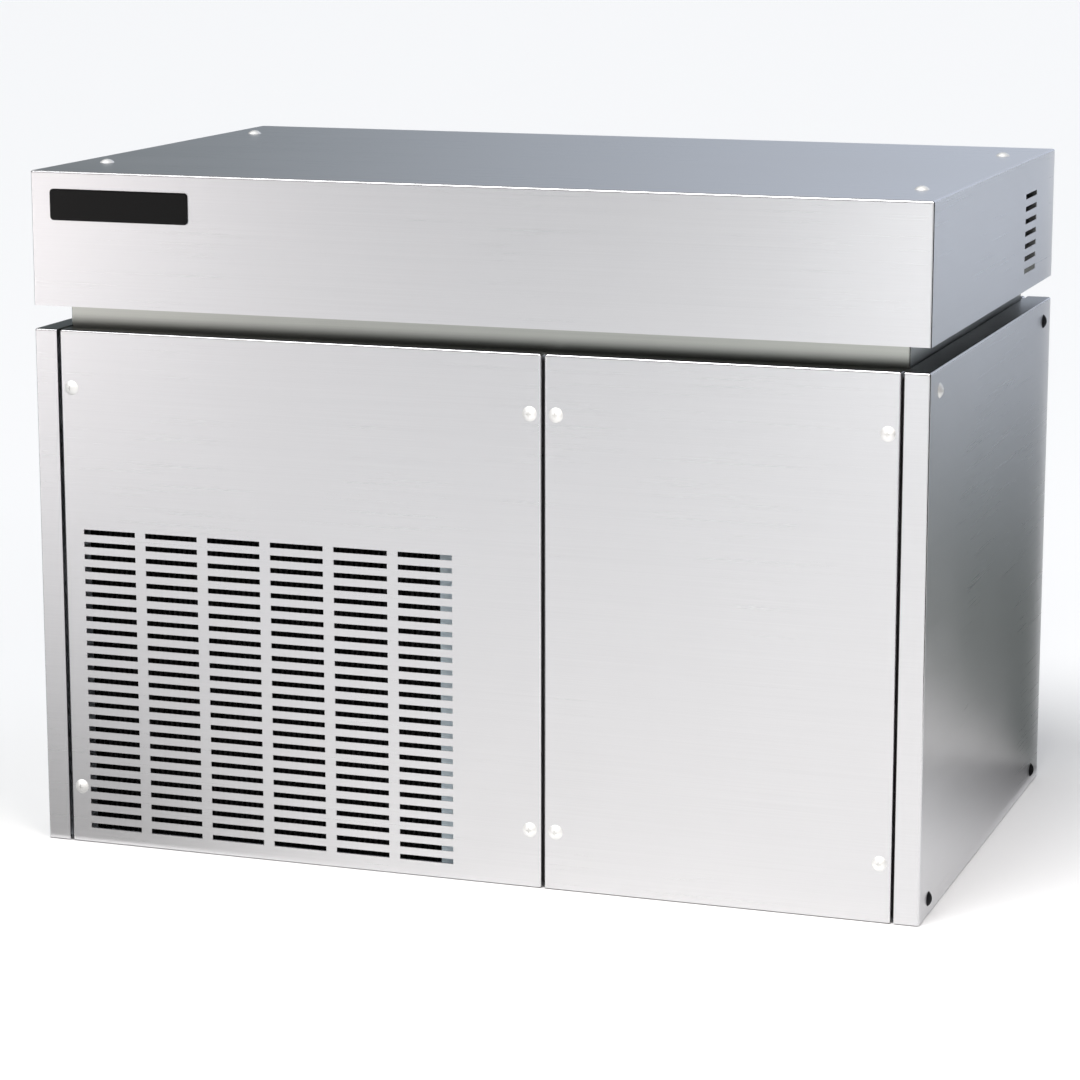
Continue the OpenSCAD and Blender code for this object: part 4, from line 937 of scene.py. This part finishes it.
cap = turned("gland_cap", [
    (CAP_BORE, 0.0050), (0.0104, 0.0050), (0.0104, 0.0105), (0.0102, 0.0128), (0.0096, 0.0148),
    (0.0086, 0.0164), (0.0074, 0.0174), (0.0062, 0.0179), (0.0054, 0.0179), (CAP_BORE, 0.0175),
], GLAND, REAR_FACE)
seal = turned("gland_seal", [
    (CABLE_RADIUS, 0.0045), (CAP_BORE, 0.0045), (CAP_BORE, 0.0168), (0.0048, 0.0172),
    (0.0046, 0.0168), (CABLE_RADIUS, 0.0162),
], GLAND, REAR_FACE)
sleeve = turned("gland_sleeve", [
    (CAP_BORE, -0.0110), (0.0096, -0.0110), (0.0099, -0.0105), (0.0099, 0.0055), (CAP_BORE, 0.0055),
], GLAND, REAR_FACE)

gland_x, gland_z = GLAND
rib_low = (gland_x - RIB_HALF, REAR_FACE + RIB_FROM, gland_z + RIB_ROOT)
rib_high = (gland_x + RIB_HALF, REAR_FACE + RIB_TO, gland_z + RIB_CREST)
rib_middle = (rib_low[2] + rib_high[2]) / 2
first_rib = add_block("gland_rib", rib_low, rib_high)
pick_edges(first_rib, lambda a, b: min(a.z, b.z) > rib_middle)
bpy.ops.mesh.bevel(offset=RIB_ROUNDING, segments=2, affect="EDGES")
leave()
ribs = [first_rib]
for index in range(1, RIB_COUNT):
    ribs.append(copied(first_rib, "gland_rib_copy"))
    swing = index * math.tau / RIB_COUNT
    bpy.ops.transform.rotate(value=swing, orient_axis="Y", center_override=(gland_x, 0, gland_z))
    settle()
gland = joined(hex_flange, cap, seal, sleeve, back_nut, *ribs)
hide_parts("cable_gland")
complete(gland, black_plastic)

# %% [markdown]
# The studio: a wide pale floor that also makes the white background, because the camera looks down on it.
# It is not part of the machine.

# %% Floor
FLOOR_REACH = 60.0
FLOOR_WHITE = grey(0.96)
MATT = 0.9

bpy.ops.object.select_all(action="DESELECT")
bpy.ops.mesh.primitive_plane_add(size=2 * FLOOR_REACH, location=(0, 0, 0))
floor = bpy.context.object
floor.name = "studio_floor"
floor_paint = Finish("floor_paint", {"Base Color": FLOOR_WHITE, "Roughness": MATT})
floor.data.materials.append(floor_paint.material)
print("floor", floor.dimensions[:2])

# %% [markdown]
# A high sun with a broad disc stands for a bank of soft lamps overhead. It lights the floor evenly and
# leaves the gap under the cover in shade. Soft boxes beside the camera shape the front: brushed steel
# shows little of its own, so its tones are those of what stands around it.

# %% Lamps
def hang(name, lamp, place, towards):
    """Puts a lamp in the studio so that it shines from the direction given, as seen from the machine."""
    holder = bpy.data.objects.new(name, lamp)
    holder.location = place
    holder.rotation_mode = "QUATERNION"
    holder.rotation_quaternion = Vector(towards).to_track_quat("Z", "Y")
    bpy.context.scene.collection.objects.link(holder)
    print("lamp", name, round(lamp.energy, 2))


def sun_bank(name, strength, spread, azimuth, height):
    lamp = bpy.data.lights.new(name, "SUN")
    lamp.energy = strength
    lamp.angle = math.radians(spread)
    turn = math.radians(azimuth)
    rise = math.radians(height)
    level = math.cos(rise)
    hang(name, lamp, (0, 0, 0), (math.sin(turn) * level, -math.cos(turn) * level, math.sin(rise)))


def soft_box(name, power, size, place, target, colour):
    lamp = bpy.data.lights.new(name, "AREA")
    lamp.shape = "RECTANGLE"
    lamp.size, lamp.size_y = size
    lamp.energy = power
    lamp.color = colour
    hang(name, lamp, place, Vector(place) - Vector(target))


sun_bank("ceiling_bank", strength=1.7, spread=30, azimuth=-25, height=62)
soft_box(
    "left_box", power=11, size=(1.2, 1.4),
    place=(-2.5, -3.0, 0.75), target=(0, 0, 0.5), colour=(1.0, 0.91, 0.89),
)
soft_box(
    "right_box", power=2.4, size=(0.7, 0.6),
    place=(0.15, -3.2, 0.4), target=(0.2, 0, 0.4), colour=(1.0, 1.0, 1.0),
)
soft_box(
    "pool_box", power=13, size=(0.8, 0.8),
    place=(0.95, -1.3, 1.5), target=(0.5, -0.55, 0), colour=(1.0, 0.93, 0.87),
)

# %% [markdown]
# Matt boards stand or lie round the machine where only mirrors see them. The one behind on the right,
# grey-green at its foot and pale at its top, gives the right side its dark middle, and its pale lower
# corner gives the lighter foot. A black one on the right draws a dark line down each fold. Two on the
# floor, white that darkens towards a corner, shade the feet of the grille and of the side. Their paints
# come first.

# %% Board paints
WALL_FADE = (0.135, 0.635)
WALL_FOOT = rgb(0.13, 0.15, 0.145)
WALL_TOP = rgb(0.54, 0.59, 0.67)
CORNER_TONE = grey(0.62)
CORNER_START = 0.5
CORNER_SLOPE = 0.6
CORNER_SOFT = 0.03
SHADE_START = -0.3
SHADE_REACH = 1.6
SHADE_EDGE = -0.45
SHADE_LEAN = 0.51
SHADE_SOFT = 0.4
SHADE_DARK = 0.5
SIDE_FADE = (-0.1, 0.4)

back_paint = Finish("back_paint", {"Roughness": MATT})
across, _, up = back_paint.place()
wall_tone = back_paint.blend(up.ramp(*WALL_FADE), WALL_FOOT, WALL_TOP)
pale_corner = ((across - CORNER_START) * CORNER_SLOPE - up).ramp(-CORNER_SOFT, CORNER_SOFT)
back_paint.feed(base_color=back_paint.blend(pale_corner, wall_tone, CORNER_TONE))

board_black = Finish("board_black", {"Base Color": grey(0.02), "Roughness": MATT})

left_paint = Finish("left_paint", {"Roughness": MATT})
across, depth, _ = left_paint.place()
nearness = 1 - (SHADE_START - depth).ramp(0.0, SHADE_REACH)
leftness = 1 - (across - SHADE_EDGE - (depth - FRONT_FACE) * SHADE_LEAN).ramp(0.0, SHADE_SOFT)
left_paint.feed(base_color=left_paint.blend(nearness * leftness * SHADE_DARK, FLOOR_WHITE, grey(0.0)))

side_paint = Finish("side_paint", {"Roughness": MATT})
depth = side_paint.place()[1]
side_paint.feed(base_color=side_paint.blend(depth.ramp(*SIDE_FADE), grey(0.95), grey(0.12)))
print("made four board paints")

# %% [markdown]
# Each board is a plane that the camera, the shadows and the soft bounce of light don't see, so it changes
# nothing but what the steel mirrors.

# %% Boards
UPRIGHT = (math.pi / 2, 0, 0)
EDGE_ON = (0, math.pi / 2, 0)
FLAT = (0, 0, 0)
OFF_FLOOR = 0.002


def mirror_board(name, size, place, turn, paint):
    bpy.ops.object.select_all(action="DESELECT")
    bpy.ops.mesh.primitive_plane_add(size=1, location=place, rotation=turn)
    board = bpy.context.object
    board.name = name
    board.scale = (*size, 1)
    settle()
    board.visible_camera = False
    board.visible_shadow = False
    board.visible_diffuse = False
    board.data.materials.append(paint.material)
    print(name, [round(side, 3) for side in board.dimensions])


mirror_board("back_board", size=(1.9, 0.8), place=(1.43, 0.33, 0.4), turn=UPRIGHT, paint=back_paint)
mirror_board("right_board", size=(1.6, 0.9), place=(1.3, -0.3, 0.8), turn=EDGE_ON, paint=board_black)
mirror_board(
    "left_floor_board", size=(2.6, 1.8), place=(-1.2, -1.2, OFF_FLOOR), turn=FLAT, paint=left_paint
)
mirror_board(
    "side_floor_board", size=(0.18, 0.62), place=(0.565, 0.02, OFF_FLOOR), turn=FLAT, paint=side_paint
)

# %% [markdown]
# The sky is what the steel mirrors above the floor. Behind the machine it is a dim room, grey-green on the
# left and a cooler, lighter grey on the right, which the cover's top shows. In front it is pale above a
# dim band, which the gap under the cover shows. It is a node tree like a finish, fed by the direction
# looked in.

# %% Sky
BEHIND_LEFT = rgb(0.11, 0.13, 0.125)
BEHIND_RIGHT = rgb(0.7, 0.76, 0.88)
FRONT_LOW = grey(0.05)
FRONT_HIGH = grey(0.85)
OVERHEAD = grey(0.45)
LEFT_TO_RIGHT = (-0.55, -0.1)
DIM_BAND = (0.12, 0.5)
BACK_TO_FRONT = (0.3, -0.3)
HIGH_UP = (0.45, 0.95)

world = bpy.data.worlds.new("studio_sky")
world.use_nodes = True
bpy.context.scene.world = world
sky = Shading(world.node_tree)
right, back, up = sky.split("Generated")
behind = sky.blend(right.ramp(*LEFT_TO_RIGHT), BEHIND_LEFT, BEHIND_RIGHT)
ahead = sky.blend(up.ramp(*DIM_BAND), FRONT_LOW, FRONT_HIGH)
around = sky.blend(back.ramp(*BACK_TO_FRONT), behind, ahead)
whole = sky.blend(up.ramp(*HIGH_UP), around, OVERHEAD)
sky.set(sky.tree.nodes["Background"].inputs["Color"], whole)
bpy.context.scene.view_settings.view_transform = "Standard"
print("world:", world.name)

# %% [markdown]
# The camera stands a little right of the front and looks down about eleven degrees through a long lens, so
# the edges stay almost parallel as they are in a catalogue picture.

# %% Camera
CAMERA_PLACE = (1.180, -3.463, 1.037)
CAMERA_TURN = math.radians(19.14)
CAMERA_DIP = math.radians(11.45)
CAMERA_LENS = 115.7
CAMERA_SENSOR = 36.0

lens = bpy.data.cameras.new("catalogue_camera")
lens.lens = CAMERA_LENS
lens.sensor_width = CAMERA_SENSOR
camera = bpy.data.objects.new("catalogue_camera", lens)
camera.location = CAMERA_PLACE
camera.rotation_euler = (math.pi / 2 - CAMERA_DIP, 0, CAMERA_TURN)
bpy.context.scene.collection.objects.link(camera)
bpy.context.scene.camera = camera
print("camera lens", round(lens.lens, 1), "mm")
